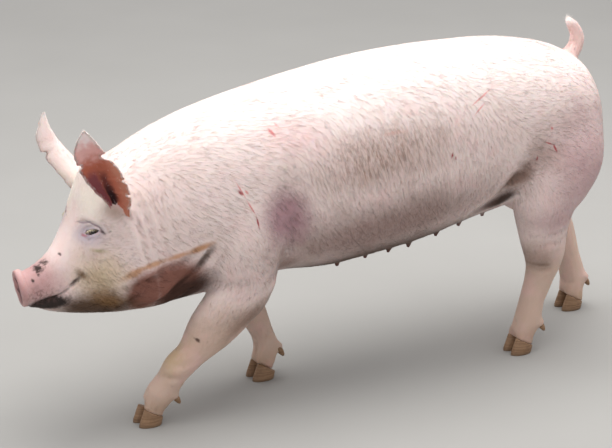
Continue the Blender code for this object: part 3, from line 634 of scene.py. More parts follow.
@dataclass(frozen=True)
class Disc:
    """The flat end of the snout, with its own directions."""

    turn: Matrix = Matrix.Rotation(-DISC_YAW, 3, "Z") @ Matrix.Rotation(-DISC_LEAN, 3, "Y")

    def at(self, ahead: float, aside: float, rise: float) -> Vector:
        """A point measured from the middle of the disc's face."""
        return DISC_FRONT + SHIFT + self.turn @ Vector((-ahead, aside, rise))

    def way(self, ahead: float, aside: float, rise: float) -> Vector:
        """A direction from the disc."""
        return (self.turn @ Vector((-ahead, aside, rise))).normalized()

    def pressed(self, rows: np.ndarray) -> None:
        """Shapes the rolled rim, the hollow face and the rings of the nostrils.

        Args:
            rows: The points of the skin, which move along the disc's own axis.
        """
        ahead = np.array(self.way(1, 0, 0))
        aside, rise = np.array(self.way(0, 1, 0)), np.array(self.way(0, 0, 1))
        away = rows - np.array(DISC_FRONT + SHIFT)
        depth = away @ ahead
        across, up = away @ aside, away @ rise
        ring = np.hypot(across / DISC_HALF[0], up / DISC_HALF[1])
        front = np.clip((depth + 0.006) / 0.004, 0, 1) * (ring < 1.3)
        move = -0.0034 * np.exp(-((ring / 0.62) ** 4)) + 0.0008 * np.exp(-(((ring - 0.88) / 0.10) ** 2))
        for side in Side:
            hole = np.hypot((across - side.value * NOSTRIL_ASIDE) / 0.0125, (up - 0.004) / 0.0140)
            move = move + 0.0022 * np.exp(-(((hole - 1.0) / 0.30) ** 2))
        move = move - 0.0016 * np.exp(-((across / 0.0035) ** 2)) * np.exp(-(((up + 0.014) / 0.016) ** 2))
        rows += ahead * (move * front)[:, None]


@dataclass
class Hide:
    """The one skin that stands for every node of flesh."""

    voxel: float = 0.0032
    overlap: float = 0.0004
    most_triangles: int = 190_000
    rounds: int = 520
    calm: float = 0.085

    def flesh(self) -> list[str]:
        """The nodes that the skin replaces."""
        horn = ("eye", "hoof", "dewclaw")
        return [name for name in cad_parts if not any(word in name for word in horn)]

    def gathered(self) -> bpy.types.Object:
        """The solids of flesh, swollen a little so that they run into each other."""
        shape = bmesh.new()
        for name in self.flesh():
            if "ear_" in name:
                continue
            part = bmesh.new()
            part.from_mesh(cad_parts[name].data)
            bmesh.ops.remove_doubles(part, verts=part.verts, dist=1e-5)
            part.normal_update()
            for vert in part.verts:
                vert.co += vert.normal * self.overlap
            mesh = bpy.data.meshes.new("part")
            part.to_mesh(mesh)
            part.free()
            shape.from_mesh(mesh)
            bpy.data.meshes.remove(mesh)
        return from_bmesh("skin", shape)

    def softness(self, rows: np.ndarray) -> np.ndarray:
        """How much of the smoothing each point takes, from the node that it lies nearest."""
        amounts = {"torso": 1.0, "neck": 0.9, "head": 0.045, "snout": 0.01, "tail": 0.06, "leg": 0.12, "foot": 0.03}
        corners = [
            (*vertex.co, next(value for key, value in amounts.items() if key in name))
            for name in self.flesh()
            if "ear_" not in name
            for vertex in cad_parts[name].data.vertices
        ]
        tree, limbs = tree_of(corners), tree_of([corner for corner in corners if corner[3] < 0.5])
        near = np.array([corners[tree.find(row)[1]][3] for row in rows])
        apart = np.array([limbs.find(row)[2] for row in rows])
        near = np.where(near > 0.5, near * np.clip(apart / self.calm, 0.12, 1) ** 1.5, near)
        near[Teats().covered(rows - np.array(SHIFT), 0.018, 0.020) > 0] = 1.0
        return near

    def refined(self, made: bpy.types.Object, zones: Sequence[tuple[Vector, float]]) -> None:
        """Divides the faces round some places once more.

        Args:
            made: The object.
            zones: The middle and radius of each place.
        """
        shape = bmesh.new()
        shape.from_mesh(made.data)
        edges = [
            edge
            for edge in shape.edges
            if any((edge.verts[0].co - middle).length < radius for middle, radius in zones)
        ]
        bmesh.ops.subdivide_edges(shape, edges=edges, cuts=1, use_grid_fill=True)
        bmesh.ops.triangulate(shape, faces=[face for face in shape.faces if len(face.verts) > 4])
        shape.to_mesh(made.data)
        shape.free()

    def thinned(self, made: bpy.types.Object) -> None:
        """Evens out the triangles: small on the head, larger on the feet and neck, largest on the trunk."""
        rows = points_of(made) - np.array(SHIFT)
        keep = np.interp(rows[:, 0], (-0.38, -0.32, -0.16, -0.10), (0.50, 0.27, 0.27, 0.20))
        keep = np.maximum(keep, np.interp(rows[:, 2], (0.14, 0.22), (0.32, 0.20)))
        for side in Side:
            eye = np.linalg.norm(rows - np.array(mirrored(EYE_DRAWN, side)), axis=1)
            keep = np.maximum(keep, np.interp(eye, (0.026, 0.036), (0.95, 0.50)))
        nose = np.linalg.norm(rows - np.array(DISC_FRONT), axis=1)
        keep = np.maximum(keep, np.interp(nose, (0.045, 0.065), (0.72, 0.50)))
        made.data.calc_loop_triangles()
        step = made.modifiers.new("thin", "DECIMATE")
        step.ratio = min(1.0, self.most_triangles / len(made.data.loop_triangles))
        step.vertex_group = levelled(made, keep)
        step.invert_vertex_group = True
        step.vertex_group_factor = 1.0
        settle(made)
        made.vertex_groups.clear()

    def shape(self, made: bpy.types.Object, forms: Iterable[Swell | Fold]) -> None:
        """Presses forms into the skin in order."""
        rows, normals = points_of(made), normals_of(made)
        for form in forms:
            form.press(rows, normals)
        put_points(made, rows)

    def opened(self, made: bpy.types.Object) -> None:
        """Cuts the eye slits and their sockets and the nostrils."""
        up = Vector((0, 0, 1))
        disc = Disc()
        for side in Side:
            centre = drawn(*EYE_DRAWN, side)
            out = mirrored(EYE_OUT, side)
            combined(made, ball("socket", centre, (EYE_RADIUS + 0.0004,) * 3), "DIFFERENCE")
            turn = facing(out, up) @ Matrix.Rotation(side.value * SLIT_TILT, 4, "X")
            combined(made, ball("slit", centre + out * EYE_RADIUS, SLIT, turn), "DIFFERENCE")
            place = disc.at(-0.003, side.value * NOSTRIL_ASIDE, 0.004)
            turn = facing(disc.way(1, side.value * 0.30, 0.25), disc.way(0, -side.value * 0.25, 1))
            combined(made, ball("nostril", place, (0.017, 0.0072, 0.0094), turn), "DIFFERENCE")

    def build(self) -> tuple[bpy.types.Object, np.ndarray, np.ndarray]:
        """Makes the skin.

        Returns:
            The skin, and the inner and outer rows of both ears.
        """
        made = remeshed(self.gathered(), self.voxel)
        held(made, self.rounds, self.softness(points_of(made)))
        LOG.info("skin surface: %d faces", len(made.data.polygons))
        zones = [(drawn(*EYE_DRAWN, side), 0.045) for side in Side]
        zones += [(DISC_FRONT + SHIFT, 0.070), (drawn(-0.535, 0, 0.33), 0.070), (DISC_FRONT + SHIFT, 0.048)]
        zones += [(drawn(-0.505, -0.06, 0.362, side), 0.030) for side in Side]
        self.refined(made, zones)
        self.shape(made, (*FACE, *THROAT, *BODY, *LEGS))
        self.shape(made, LIDS)
        rows = points_of(made)
        Disc().pressed(rows)
        put_points(made, rows)
        for teat in Teats().build():
            combined(made, teat, "UNION")
        inside, outside = [], []
        for ear in (LEFT_EAR, RIGHT_EAR):
            lobe, inner, outer = ear.build()
            combined(made, lobe, "UNION")
            inside.append(inner)
            outside.append(outer)
        ordered(made)
        self.blended(made)
        self.opened(made)
        ordered(made)
        self.thinned(made)
        made.data.shade_smooth()
        return made, np.vstack(inside), np.vstack(outside)

    def blended(self, made: bpy.types.Object) -> None:
        """Rounds the joint between each ear and the head."""
        rows = points_of(made)
        weights = np.zeros(len(rows))
        for side in Side:
            root = np.array(drawn(-0.415, -0.078, 0.525, side))
            away = np.linalg.norm((rows - root) / np.array((0.045, 0.036, 0.040)), axis=1)
            weights = np.maximum(weights, np.clip(1.25 - away, 0, 1))
        smoothed(made, 10, weights)


# Finishes


class Value:
    """A number socket that can be used in Python arithmetic."""

    def __init__(self, finish: "Finish", socket: bpy.types.NodeSocket) -> None:
        """Wraps a socket of a finish."""
        self.finish = finish
        self.socket = socket

    def through(self, operation: str, *others: "Value | float") -> "Value":
        """The result of a Math node on this value and others."""
        return self.finish.number("ShaderNodeMath", {"operation": operation}, dict(enumerate((self, *others))))

    def __add__(self, other: "Value | float") -> "Value":
        """The sum."""
        return self.through("ADD", other)

    __radd__ = __add__

    def __mul__(self, other: "Value | float") -> "Value":
        """The product."""
        return self.through("MULTIPLY", other)

    __rmul__ = __mul__

    def __sub__(self, other: "Value | float") -> "Value":
        """The difference."""
        return self.through("SUBTRACT", other)

    def __rsub__(self, other: float) -> "Value":
        """The difference from a number."""
        return self.finish.number("ShaderNodeMath", {"operation": "SUBTRACT"}, {0: other, 1: self})

    def __truediv__(self, other: "Value | float") -> "Value":
        """The quotient."""
        return self.through("DIVIDE", other)

    def most(self, other: "Value | float") -> "Value":
        """The greater of the two."""
        return self.through("MAXIMUM", other)

    def ramp(self, low: float, high: float) -> "Value":
        """0 at low and 1 at high, with a soft step between."""
        if low > high:
            return 1 - self.ramp(high, low)
        settings = {"interpolation_type": "SMOOTHSTEP"}
        return self.finish.number("ShaderNodeMapRange", settings, {"Value": self, "From Min": low, "From Max": high})


Colour = tuple[float, float, float]


class Finish:
    """One material and the nodes that it is made of."""

    def __init__(self, name: str, **constants: float | Colour) -> None:
        """Starts a material with constants on its surface shader."""
        self.material = bpy.data.materials.new(name)
        self.material.use_nodes = True
        self.tree = self.material.node_tree
        self.surface = self.tree.nodes["Principled BSDF"]
        for socket, amount in constants.items():
            self.surface.inputs[socket.replace("_", " ")].default_value = amount
        where = self.node("ShaderNodeTexCoord").outputs["Object"]
        values = {0: where, 1: tuple(SHIFT)}
        self.place = self.node("ShaderNodeVectorMath", {"operation": "SUBTRACT"}, values).outputs[0]
        split = self.node("ShaderNodeSeparateXYZ", {}, {0: self.place}).outputs
        inward = 0 - Value(self, split["Y"]).through("ABSOLUTE")
        values = {"X": split["X"], "Y": inward, "Z": split["Z"]}
        self.folded = self.node("ShaderNodeCombineXYZ", {}, values).outputs[0]

    def node(
        self, kind: str, settings: dict[str, object] | None = None, values: dict[int | str, object] | None = None
    ) -> bpy.types.Node:
        """Adds a node.

        Args:
            kind: The node's type.
            settings: Its properties, set before its sockets.
            values: A number, colour, Value or output socket for each input.

        Returns:
            The node.
        """
        made = self.tree.nodes.new(kind)
        for name, setting in (settings or {}).items():
            setattr(made, name, setting)
        for name, value in (values or {}).items():
            self.join(made.inputs[name], value)
        return made

    def join(self, socket: bpy.types.NodeSocket, value: object) -> None:
        """Feeds a socket with a Value, another socket or a constant."""
        if isinstance(value, (Value, bpy.types.NodeSocket)):
            self.tree.links.new(getattr(value, "socket", value), socket)
        else:
            short = isinstance(value, tuple) and socket.type == "RGBA"
            socket.default_value = (*value, 1.0) if short else value

    def number(self, kind: str, settings: dict[str, object], values: dict[int | str, object]) -> Value:
        """The first output of a new node, as a value."""
        return Value(self, self.node(kind, settings, values).outputs[0])

    def axis(self, letter: str) -> Value:
        """One coordinate of the drawn place."""
        return Value(self, self.node("ShaderNodeSeparateXYZ", {}, {0: self.place}).outputs[letter])

    def local(
        self, middle: Sequence[float], turn: float, size: Sequence[float], folded: bool = False
    ) -> bpy.types.NodeSocket:
        """The place measured from a middle, along a direction turned down by an angle in degrees, in sizes."""
        place = self.folded if folded else self.place
        turned = (0, math.radians(turn), 0)
        values = {"Vector": place, "Location": tuple(middle), "Rotation": turned, "Scale": tuple(size)}
        return self.node("ShaderNodeMapping", {"vector_type": "TEXTURE"}, values).outputs[0]

    def noise(self, size: float, turn: float = 0.0, length: float = 1.0, detail: float = 3.0) -> Value:
        """A noise from 0 to 1.

        Args:
            size: The size of its grains in metres.
            turn: How far its grains turn down from level, in degrees.
            length: How many times longer than wide its grains are.
            detail: The octaves.

        Returns:
            The noise.
        """
        place = self.local((0, 0, 0), turn, (size * length, size, size))
        return self.number("ShaderNodeTexNoise", {}, {"Vector": place, "Scale": 1.0, "Detail": detail})

    def near(
        self,
        middle: Sequence[float],
        radii: Sequence[float],
        turn: float = 0.0,
        ragged: "Value | None" = None,
        core: float = 0.0,
        folded: bool = True,
    ) -> Value:
        """1 at a place and 0 outside its reach.

        Args:
            middle: The place, on the left.
            radii: Its reach along its own three axes.
            turn: How far its first axis turns down from level, in degrees.
            ragged: A value near 0 that shifts its edge.
            core: The share of its reach that is full.
            folded: Whether the right side has it too.

        Returns:
            The mask.
        """
        wide = [2 * radius for radius in radii]
        values = {"Vector": self.local(middle, turn, wide, folded)}
        node = self.node("ShaderNodeTexGradient", {"gradient_type": "SPHERICAL"}, values)
        full = Value(self, node.outputs["Fac"])
        if ragged is not None:
            full = full - ragged * 0.5
        return full.ramp(0.5, 1 - core / 2)

    def blend(self, base: object, colour: object, share: "Value | float") -> bpy.types.NodeSocket:
        """A colour that turns from the first to the second by a share."""
        mix = self.node("ShaderNodeMix", {"data_type": "RGBA"})
        for identifier, value in (("Factor_Float", share), ("A_Color", base), ("B_Color", colour)):
            self.join(next(item for item in mix.inputs if item.identifier == identifier), value)
        return next(item for item in mix.outputs if item.identifier == "Result_Color")

    def stored(self, name: str) -> tuple[Value, ...]:
        """The four numbers of a colour attribute of the piece."""
        node = self.node("ShaderNodeAttribute", {"attribute_name": name})
        split = self.node("ShaderNodeSeparateColor", {}, {0: node.outputs["Color"]})
        return (*(Value(self, output) for output in split.outputs), Value(self, node.outputs["Alpha"]))

    def relief(self, height: Value, distance: float, under: object = None) -> bpy.types.NodeSocket:
        """A normal bent by a height in metres, over another."""
        values = {"Height": height, "Distance": distance, "Strength": 1.0}
        if under is not None:
            values["Normal"] = under
        return self.node("ShaderNodeBump", {}, values).outputs[0]

    def dress(self, colour: object, roughness: object, normal: object = None) -> bpy.types.Material:
        """Joins colour, roughness and normal to the surface."""
        for name, value in (("Base Color", colour), ("Roughness", roughness), ("Normal", normal)):
            if value is not None:
                self.join(self.surface.inputs[name], value)
        return self.material


@dataclass(frozen=True)
class Mark:
    """A soft patch of colour, drawn on the left."""

    colour: Colour
    share: float
    middle: Sequence[float]
    radii: tuple[float, float, float]
    turn: float = 0.0
    ragged: float = 0.5
    core: float = 0.0
    # Whether the mark also darkens the bristles over it, for dirt and painted shade alike
    soils: bool = False
    both: bool = True


def stroke(
    colour: Colour, share: float, start: Sequence[float], end: Sequence[float], width: float, **rest: float | bool
) -> Mark:
    """A thin mark from one drawn place to another."""
    start, end = Vector(start), Vector(end)
    turn = math.degrees(math.atan2(start.z - end.z, end.x - start.x))
    half = (end - start).length / 2 + width
    return Mark(colour, share, (start + end) / 2, (half, 0.05, width), turn, core=0.2, **rest)


BASE = (0.80, 0.655, 0.625)
PALE = (0.93, 0.86, 0.845)
FLUSH = (0.76, 0.50, 0.48)
DIRT = (0.29, 0.175, 0.130)
STAIN = (0.56, 0.270, 0.120)
# Near-black, the colour of mud and of painted shadow under the chin
NEAR_BLACK = (0.015, 0.010, 0.008)
STRAW = (0.74, 0.59, 0.40)
LILAC = (0.37, 0.325, 0.41)
DEEP = (0.205, 0.070, 0.045)
BLACKISH = (0.045, 0.020, 0.014)
BLOOD = (0.36, 0.035, 0.045)
ROSE = (0.72, 0.20, 0.20)

TRUNK_MARKS = {
    "rosy": Mark((0.47, 0.285, 0.305), 0.88, (0.67, -0.12, 0.45), (0.17, 0.18, 0.22)),
    "light": Mark((0.94, 0.82, 0.80), 0.55, (-0.19, -0.12, 0.50), (0.15, 0.12, 0.13)),
    "blush": Mark((0.90, 0.62, 0.62), 0.45, (-0.03, -0.12, 0.62), (0.13, 0.10, 0.06), 10),
    "dirt": Mark(DIRT, 0.82, (0.160, -0.16, 0.552), (0.27, 0.12, 0.095), -8, 0.6, 0, True),
    "lower": Mark((0.225, 0.130, 0.110), 0.94, (0.16, -0.15, 0.385), (0.46, 0.12, 0.115), -7, 0.4, 0.15, True),
    # Darker underside of the belly: partly real dirt, partly painted shade under the belly
    "under": Mark((0.095, 0.052, 0.036), 0.92, (0.16, -0.05, 0.290), (0.54, 0.18, 0.076), -8, 0.3, 0.35, True),
    # Painted shadow of the fold between belly and thigh: brown shade above the crease, the dark crease, and the dark
    # groin below it
    "flank": Mark((0.19, 0.105, 0.075), 0.86, (0.508, -0.14, 0.452), (0.064, 0.12, 0.036), -38, 0.7, 0.2, True),
    "wedge": stroke(
        (0.085, 0.048, 0.040), 0.92, (0.500, -0.120, 0.408), (0.432, -0.104, 0.370), 0.017, ragged=0.3, soils=True
    ),
    "groin": Mark((0.045, 0.025, 0.018), 0.95, (0.490, -0.117, 0.398), (0.046, 0.10, 0.026), -38, 0.3, 0.3, True),
    "tail": Mark((0.74, 0.50, 0.47), 0.75, (0.745, 0, 0.700), (0.045, 0.06, 0.060), 0, 0.3, 0.6),
    "ham": Mark((0.36, 0.24, 0.21), 0.65, (0.565, -0.16, 0.500), (0.070, 0.10, 0.062), 0, 0.6),
    "bruise": Mark((0.38, 0.20, 0.24), 0.85, (-0.064, -0.15, 0.455), (0.100, 0.12, 0.080), 60, 0.6, 0.2, both=False),
    "elbow": Mark((0.22, 0.12, 0.095), 0.80, (-0.045, -0.12, 0.330), (0.060, 0.10, 0.040), 0, 0.6, 0, True),
}
# The deep throat and jowl under the jaw: partly real stain, partly painted shade
THROAT_FRONT = Mark(DEEP, 0.94, (-0.372, -0.10, 0.328), (0.056, 0.12, 0.068), 0, 0.38, 0.50)
THROAT_REAR = Mark(DEEP, 0.94, (-0.300, -0.09, 0.338), (0.092, 0.12, 0.080), -14, 0.42, 0.46)
THROAT_MARKS = {
    "glow": Mark((0.42, 0.19, 0.15), 0.75, (-0.335, -0.11, 0.378), (0.070, 0.08, 0.020), -14),
    # Near-black under the neck: partly dirt, partly painted shade
    "dark": Mark(BLACKISH, 0.94, (-0.275, -0.08, 0.308), (0.110, 0.10, 0.050), -30, 0.35, 0.4, True),
    **{
        f"band {number}": stroke(STAIN, share, start, end, width, ragged=0.65, soils=True)
        for number, (start, end, width, share) in enumerate(
            (
                ((-0.421, -0.106, 0.368), (-0.378, -0.114, 0.388), 0.013, 0.75),
                ((-0.392, -0.112, 0.384), (-0.325, -0.118, 0.400), 0.010, 0.75),
                ((-0.340, -0.118, 0.396), (-0.270, -0.127, 0.411), 0.010, 0.70),
                ((-0.285, -0.126, 0.406), (-0.226, -0.133, 0.424), 0.012, 0.85),
            )
        )
    },
    # Painted shade along the throat crease and the line under the jaw
    "crease": stroke((0.075, 0.036, 0.022), 0.75, (-0.226, -0.13, 0.415), (-0.262, -0.115, 0.358), 0.013, soils=True),
    "line": stroke(BLACKISH, 0.75, (-0.258, -0.115, 0.362), (-0.330, -0.10, 0.308), 0.008, soils=True),
}
FACE_MARKS = {
    "brow": Mark((0.88, 0.83, 0.74), 0.8, (-0.470, -0.05, 0.530), (0.060, 0.09, 0.070)),
    "straw": Mark(STRAW, 0.85, (-0.460, -0.08, 0.375), (0.085, 0.08, 0.085), 30, 0.6),
    "shade": Mark((0.36, 0.26, 0.18), 0.65, (-0.430, -0.09, 0.512), (0.034, 0.06, 0.026), 25),
    # Dark lower jaw: partly dirt, partly painted shade under the jaw
    "jaw": Mark((0.085, 0.042, 0.018), 0.95, (-0.465, -0.07, 0.292), (0.118, 0.10, 0.064), 0, 0.5, 0.3, True),
    "warm": Mark((0.29, 0.155, 0.062), 0.75, (-0.448, -0.09, 0.322), (0.062, 0.10, 0.034), 20, 0.7, 0, True),
    "cheek": Mark((0.30, 0.19, 0.10), 0.66, (-0.465, -0.07, 0.355), (0.065, 0.06, 0.044), 25, 0.7, 0, True),
    "corner": Mark((0.16, 0.09, 0.045), 0.90, (-0.497, -0.068, 0.380), (0.022, 0.03, 0.014), 45, 0.7, 0, True),
    "eye": Mark(LILAC, 0.80, (-0.477, -0.064, 0.463), (0.050, 0.060, 0.034), -8, 0.35),
    # Painted shade in the creases of the lids
    **{
        f"lid {number}": stroke((0.20, 0.14, 0.17), 0.70, start, end, width, ragged=0.4)
        for number, (start, end, width) in enumerate(
            (
                ((-0.488, -0.034, 0.480), (-0.472, -0.060, 0.487), 0.0026),
                ((-0.474, -0.058, 0.487), (-0.458, -0.078, 0.479), 0.0028),
                ((-0.459, -0.077, 0.480), (-0.450, -0.087, 0.465), 0.0026),
            )
        )
    },
    # Painted shade in the rear corner of the eye
    "corners": Mark((0.10, 0.06, 0.07), 0.9, (-0.455, -0.080, 0.470), (0.008, 0.02, 0.004), 28),
    "pink": Mark((0.50, 0.14, 0.18), 0.8, (-0.484, -0.056, 0.459), (0.007, 0.02, 0.005)),
    "under the eye": Mark((0.50, 0.43, 0.24), 0.7, (-0.466, -0.085, 0.432), (0.026, 0.03, 0.008), 8, 0.6),
    "muzzle": Mark((0.46, 0.265, 0.262), 0.90, (-0.578, 0, 0.358), (0.090, 0.12, 0.080), 0, 0.4, 0.30),
}
MUD_SPOTS = tuple(
    Mark(NEAR_BLACK, share, middle, radii, core=0.2, soils=True, both=False)
    for middle, radii, share in (
        ((-0.571, -0.012, 0.387), (0.014, 0.022, 0.011), 0.95),
        ((-0.556, -0.008, 0.396), (0.015, 0.016, 0.007), 0.85),
        ((-0.589, -0.027, 0.368), (0.006, 0.014, 0.005), 0.95),
        ((-0.575, -0.022, 0.378), (0.005, 0.014, 0.004), 0.80),
        ((-0.526, -0.024, 0.415), (0.0045, 0.010, 0.004), 0.80),
    )
)
# Mud and painted shadow under the chin and lips
MUD_AND_SHADOW_UNDER_CHIN = Mark(NEAR_BLACK, 0.96, (-0.560, -0.034, 0.316), (0.058, 0.060, 0.023), -14, core=0.5, soils=True)
MOUTH_MARKS = {
    # Painted shade along the line of the mouth
    **{
        f"mouth {number}": stroke((0.05, 0.030, 0.024), share, start, end, width, ragged=0.8, soils=True)
        for number, (start, end, width, share) in enumerate(
            (
                ((-0.566, -0.038, 0.325), (-0.540, -0.048, 0.336), 0.0055, 0.85),
                ((-0.536, -0.049, 0.338), (-0.522, -0.053, 0.349), 0.0045, 0.45),
                ((-0.518, -0.057, 0.353), (-0.500, -0.066, 0.374), 0.0060, 0.80),
            )
        )
    },
    "dusty": Mark((0.18, 0.10, 0.095), 0.7, (-0.572, -0.03, 0.338), (0.055, 0.08, 0.032), -10, 1.0, 0, True),
    "rim": Mark((0.50, 0.26, 0.26), 0.75, DISC_FRONT, (0.012, 0.060, 0.055), -math.degrees(DISC_LEAN), 0, 0.5),
    # Dark face of the disc: partly mud, partly painted shade on the face and in the nostrils
    "disc": Mark(
        (0.10, 0.045, 0.048),
        0.90,
        (DISC_FRONT.x, 0, DISC_FRONT.z - 0.003),
        (0.009, 0.036, 0.036),
        -math.degrees(DISC_LEAN),
        0.3,
        0.6,
        True,
    ),
}
LEG_MARKS = {
    "tan": Mark((0.50, 0.37, 0.20), 0.65, (-0.295, -0.09, 0.165), (0.070, 0.08, 0.045), -45, 0.8),
    "rear": Mark((0.26, 0.15, 0.11), 0.6, (-0.160, -0.12, 0.235), (0.10, 0.10, 0.030), -42, 0.6, 0, True),
    "thigh": Mark((0.44, 0.27, 0.28), 0.7, (0.600, -0.12, 0.345), (0.08, 0.14, 0.075)),
    "hock": Mark((0.235, 0.150, 0.125), 0.87, (0.585, -0.10, 0.255), (0.065, 0.14, 0.062), soils=True),
    # Painted shade along the crease under the hock
    "folds": Mark((0.20, 0.12, 0.09), 0.75, (0.585, -0.12, 0.232), (0.035, 0.08, 0.008), 6, 0.6, 0, True),
}
SCRATCHES = tuple(
    stroke(colour, share, start, end, width, both=False)
    for start, end, width, colour, share in (
        ((-0.178, -0.137, 0.553), (-0.155, -0.148, 0.508), 0.0022, ROSE, 0.7),
        ((-0.158, -0.148, 0.512), (-0.138, -0.154, 0.474), 0.0024, ROSE, 0.8),
        ((-0.139, -0.154, 0.478), (-0.131, -0.157, 0.440), 0.0030, BLOOD, 0.9),
        ((-0.172, -0.142, 0.530), (-0.164, -0.145, 0.522), 0.0048, BLOOD, 0.9),
        ((-0.158, -0.146, 0.530), (-0.152, -0.148, 0.522), 0.0035, ROSE, 0.7),
        ((-0.085, -0.113, 0.642), (-0.074, -0.113, 0.628), 0.0050, ROSE, 0.8),
        ((-0.068, -0.110, 0.650), (-0.064, -0.110, 0.645), 0.0040, ROSE, 0.5),
        ((0.381, -0.148, 0.631), (0.447, -0.135, 0.664), 0.0030, ROSE, 0.65),
        ((0.388, -0.151, 0.612), (0.423, -0.146, 0.638), 0.0028, ROSE, 0.60),
        ((0.330, -0.165, 0.541), (0.328, -0.165, 0.531), 0.0034, BLOOD, 0.95),
        ((0.338, -0.165, 0.533), (0.338, -0.165, 0.524), 0.0026, BLOOD, 0.8),
        ((0.565, -0.161, 0.530), (0.590, -0.163, 0.520), 0.0028, BLOOD, 0.8),
        ((0.589, -0.164, 0.521), (0.597, -0.165, 0.503), 0.0036, BLOOD, 0.95),
        ((0.551, -0.157, 0.497), (0.550, -0.157, 0.489), 0.0038, BLOOD, 0.8),
        ((0.583, -0.162, 0.560), (0.587, -0.162, 0.556), 0.0036, ROSE, 0.8),
        ((-0.263, -0.118, 0.209), (-0.258, -0.118, 0.203), 0.0052, (0.08, 0.04, 0.03), 0.9),
        ((0.150, -0.162, 0.604), (0.230, -0.163, 0.606), 0.0060, (0.66, 0.36, 0.32), 0.35),
    )
)


class Markings:
    """Where her colour changes, the same on skin and bristles."""

    def __init__(self, finish: Finish) -> None:
        """Prepares the noises that the marks share."""
        self.finish = finish
        self.blotch = finish.noise(0.06, detail=4)
        self.speck = finish.noise(0.005, detail=5)
        self.streak = finish.noise(0.0035, Axis.FLANK.value, 9, 3)
        self.sweep = finish.noise(0.0040, Axis.SHOULDER.value, 9, 3)
        self.fleck = finish.noise(0.006, detail=5)
        self.ragged = (self.blotch - 0.5) * 0.9 + (self.speck - 0.5) * 0.5
        self.textures = {
            "dirt": self.streak.ramp(0.38, 0.70) * 0.55 + 0.45,
            "lower": self.streak * 0.4 + 0.6,
            "cheek": self.sweep.ramp(0.35, 0.70) * 0.6 + 0.3,
            "dusty": self.fleck.ramp(0.45, 0.62),
        }
        self.bristle_darkening: Value | float = 0.0

    def put(self, colour: object, shade: Colour, amount: Value, soils: bool) -> bpy.types.NodeSocket:
        """Paints a shade by an amount, which may darken the bristles too."""
        # Dirt and painted shade both darken the bristles
        if soils:
            self.bristle_darkening = amount.most(self.bristle_darkening)
        return self.finish.blend(colour, shade, amount)

    def mask(self, mark: Mark, rough: Value | None = None) -> Value:
        """Where a mark lies, with its own or another rough edge."""
        rough = self.ragged * mark.ragged if rough is None else rough
        return self.finish.near(mark.middle, mark.radii, mark.turn, rough, mark.core, mark.both)

    def lay(self, colour: object, marks: Iterable[Mark], rough: Value) -> bpy.types.NodeSocket:
        """Paints marks that share a rough edge."""
        for mark in marks:
            colour = self.put(colour, mark.colour, self.mask(mark, rough) * mark.share, mark.soils)
        return colour

    def spread(self, colour: object, marks: dict[str, Mark]) -> bpy.types.NodeSocket:
        """Paints marks in order, some through the texture of their name."""
        for name, mark in marks.items():
            amount = self.mask(mark)
            if name in self.textures:
                amount = self.textures[name] * amount
            colour = self.put(colour, mark.colour, amount * mark.share, mark.soils)
        return colour

    def paint(self) -> bpy.types.NodeSocket:
        """The whole colour."""
        f = self.finish
        height = f.axis("Z")
        colour = f.blend(BASE, PALE, self.blotch.ramp(0.35, 0.65) * 0.3)
        colour = f.blend(colour, (0.59, 0.425, 0.335), height.ramp(0.33, 0.20) * 0.85)
        colour = self.spread(colour, LEG_MARKS)
        colour = f.blend(colour, (0.46, 0.31, 0.205), height.ramp(0.085, 0.03) * 0.65)
        # Painted light: paler towards the top of the back, where the top lamp falls
        top = (height + (self.blotch - 0.5) * 0.07 + f.axis("X") * -0.04).ramp(0.54, 0.72)
        colour = f.blend(colour, PALE, top * 0.8)
        colour = f.blend(colour, FLUSH, self.blotch.ramp(0.46, 0.74) * 0.42)
        colour = self.spread(colour, TRUNK_MARKS)
        # Deep throat and jowl: partly real stain, partly painted shade under the jaw
        throat = self.mask(THROAT_FRONT).most(self.mask(THROAT_REAR))
        colour = self.put(colour, DEEP, throat * THROAT_FRONT.share, True)
        colour = self.spread(colour, THROAT_MARKS)
        colour = self.spread(colour, FACE_MARKS)
        clot = (f.noise(0.008, detail=4) - 0.5) * 1.4 + (self.speck - 0.5) * 1.0
        colour = self.lay(colour, MUD_SPOTS, clot)
        # Mud and painted shadow under the chin
        colour = self.lay(colour, (MUD_AND_SHADOW_UNDER_CHIN,), self.ragged * 0.5 + (self.fleck - 0.5) * 0.3)
        colour = self.spread(colour, MOUTH_MARKS)
        return self.lay(colour, SCRATCHES, (self.speck - 0.5) * 0.7)


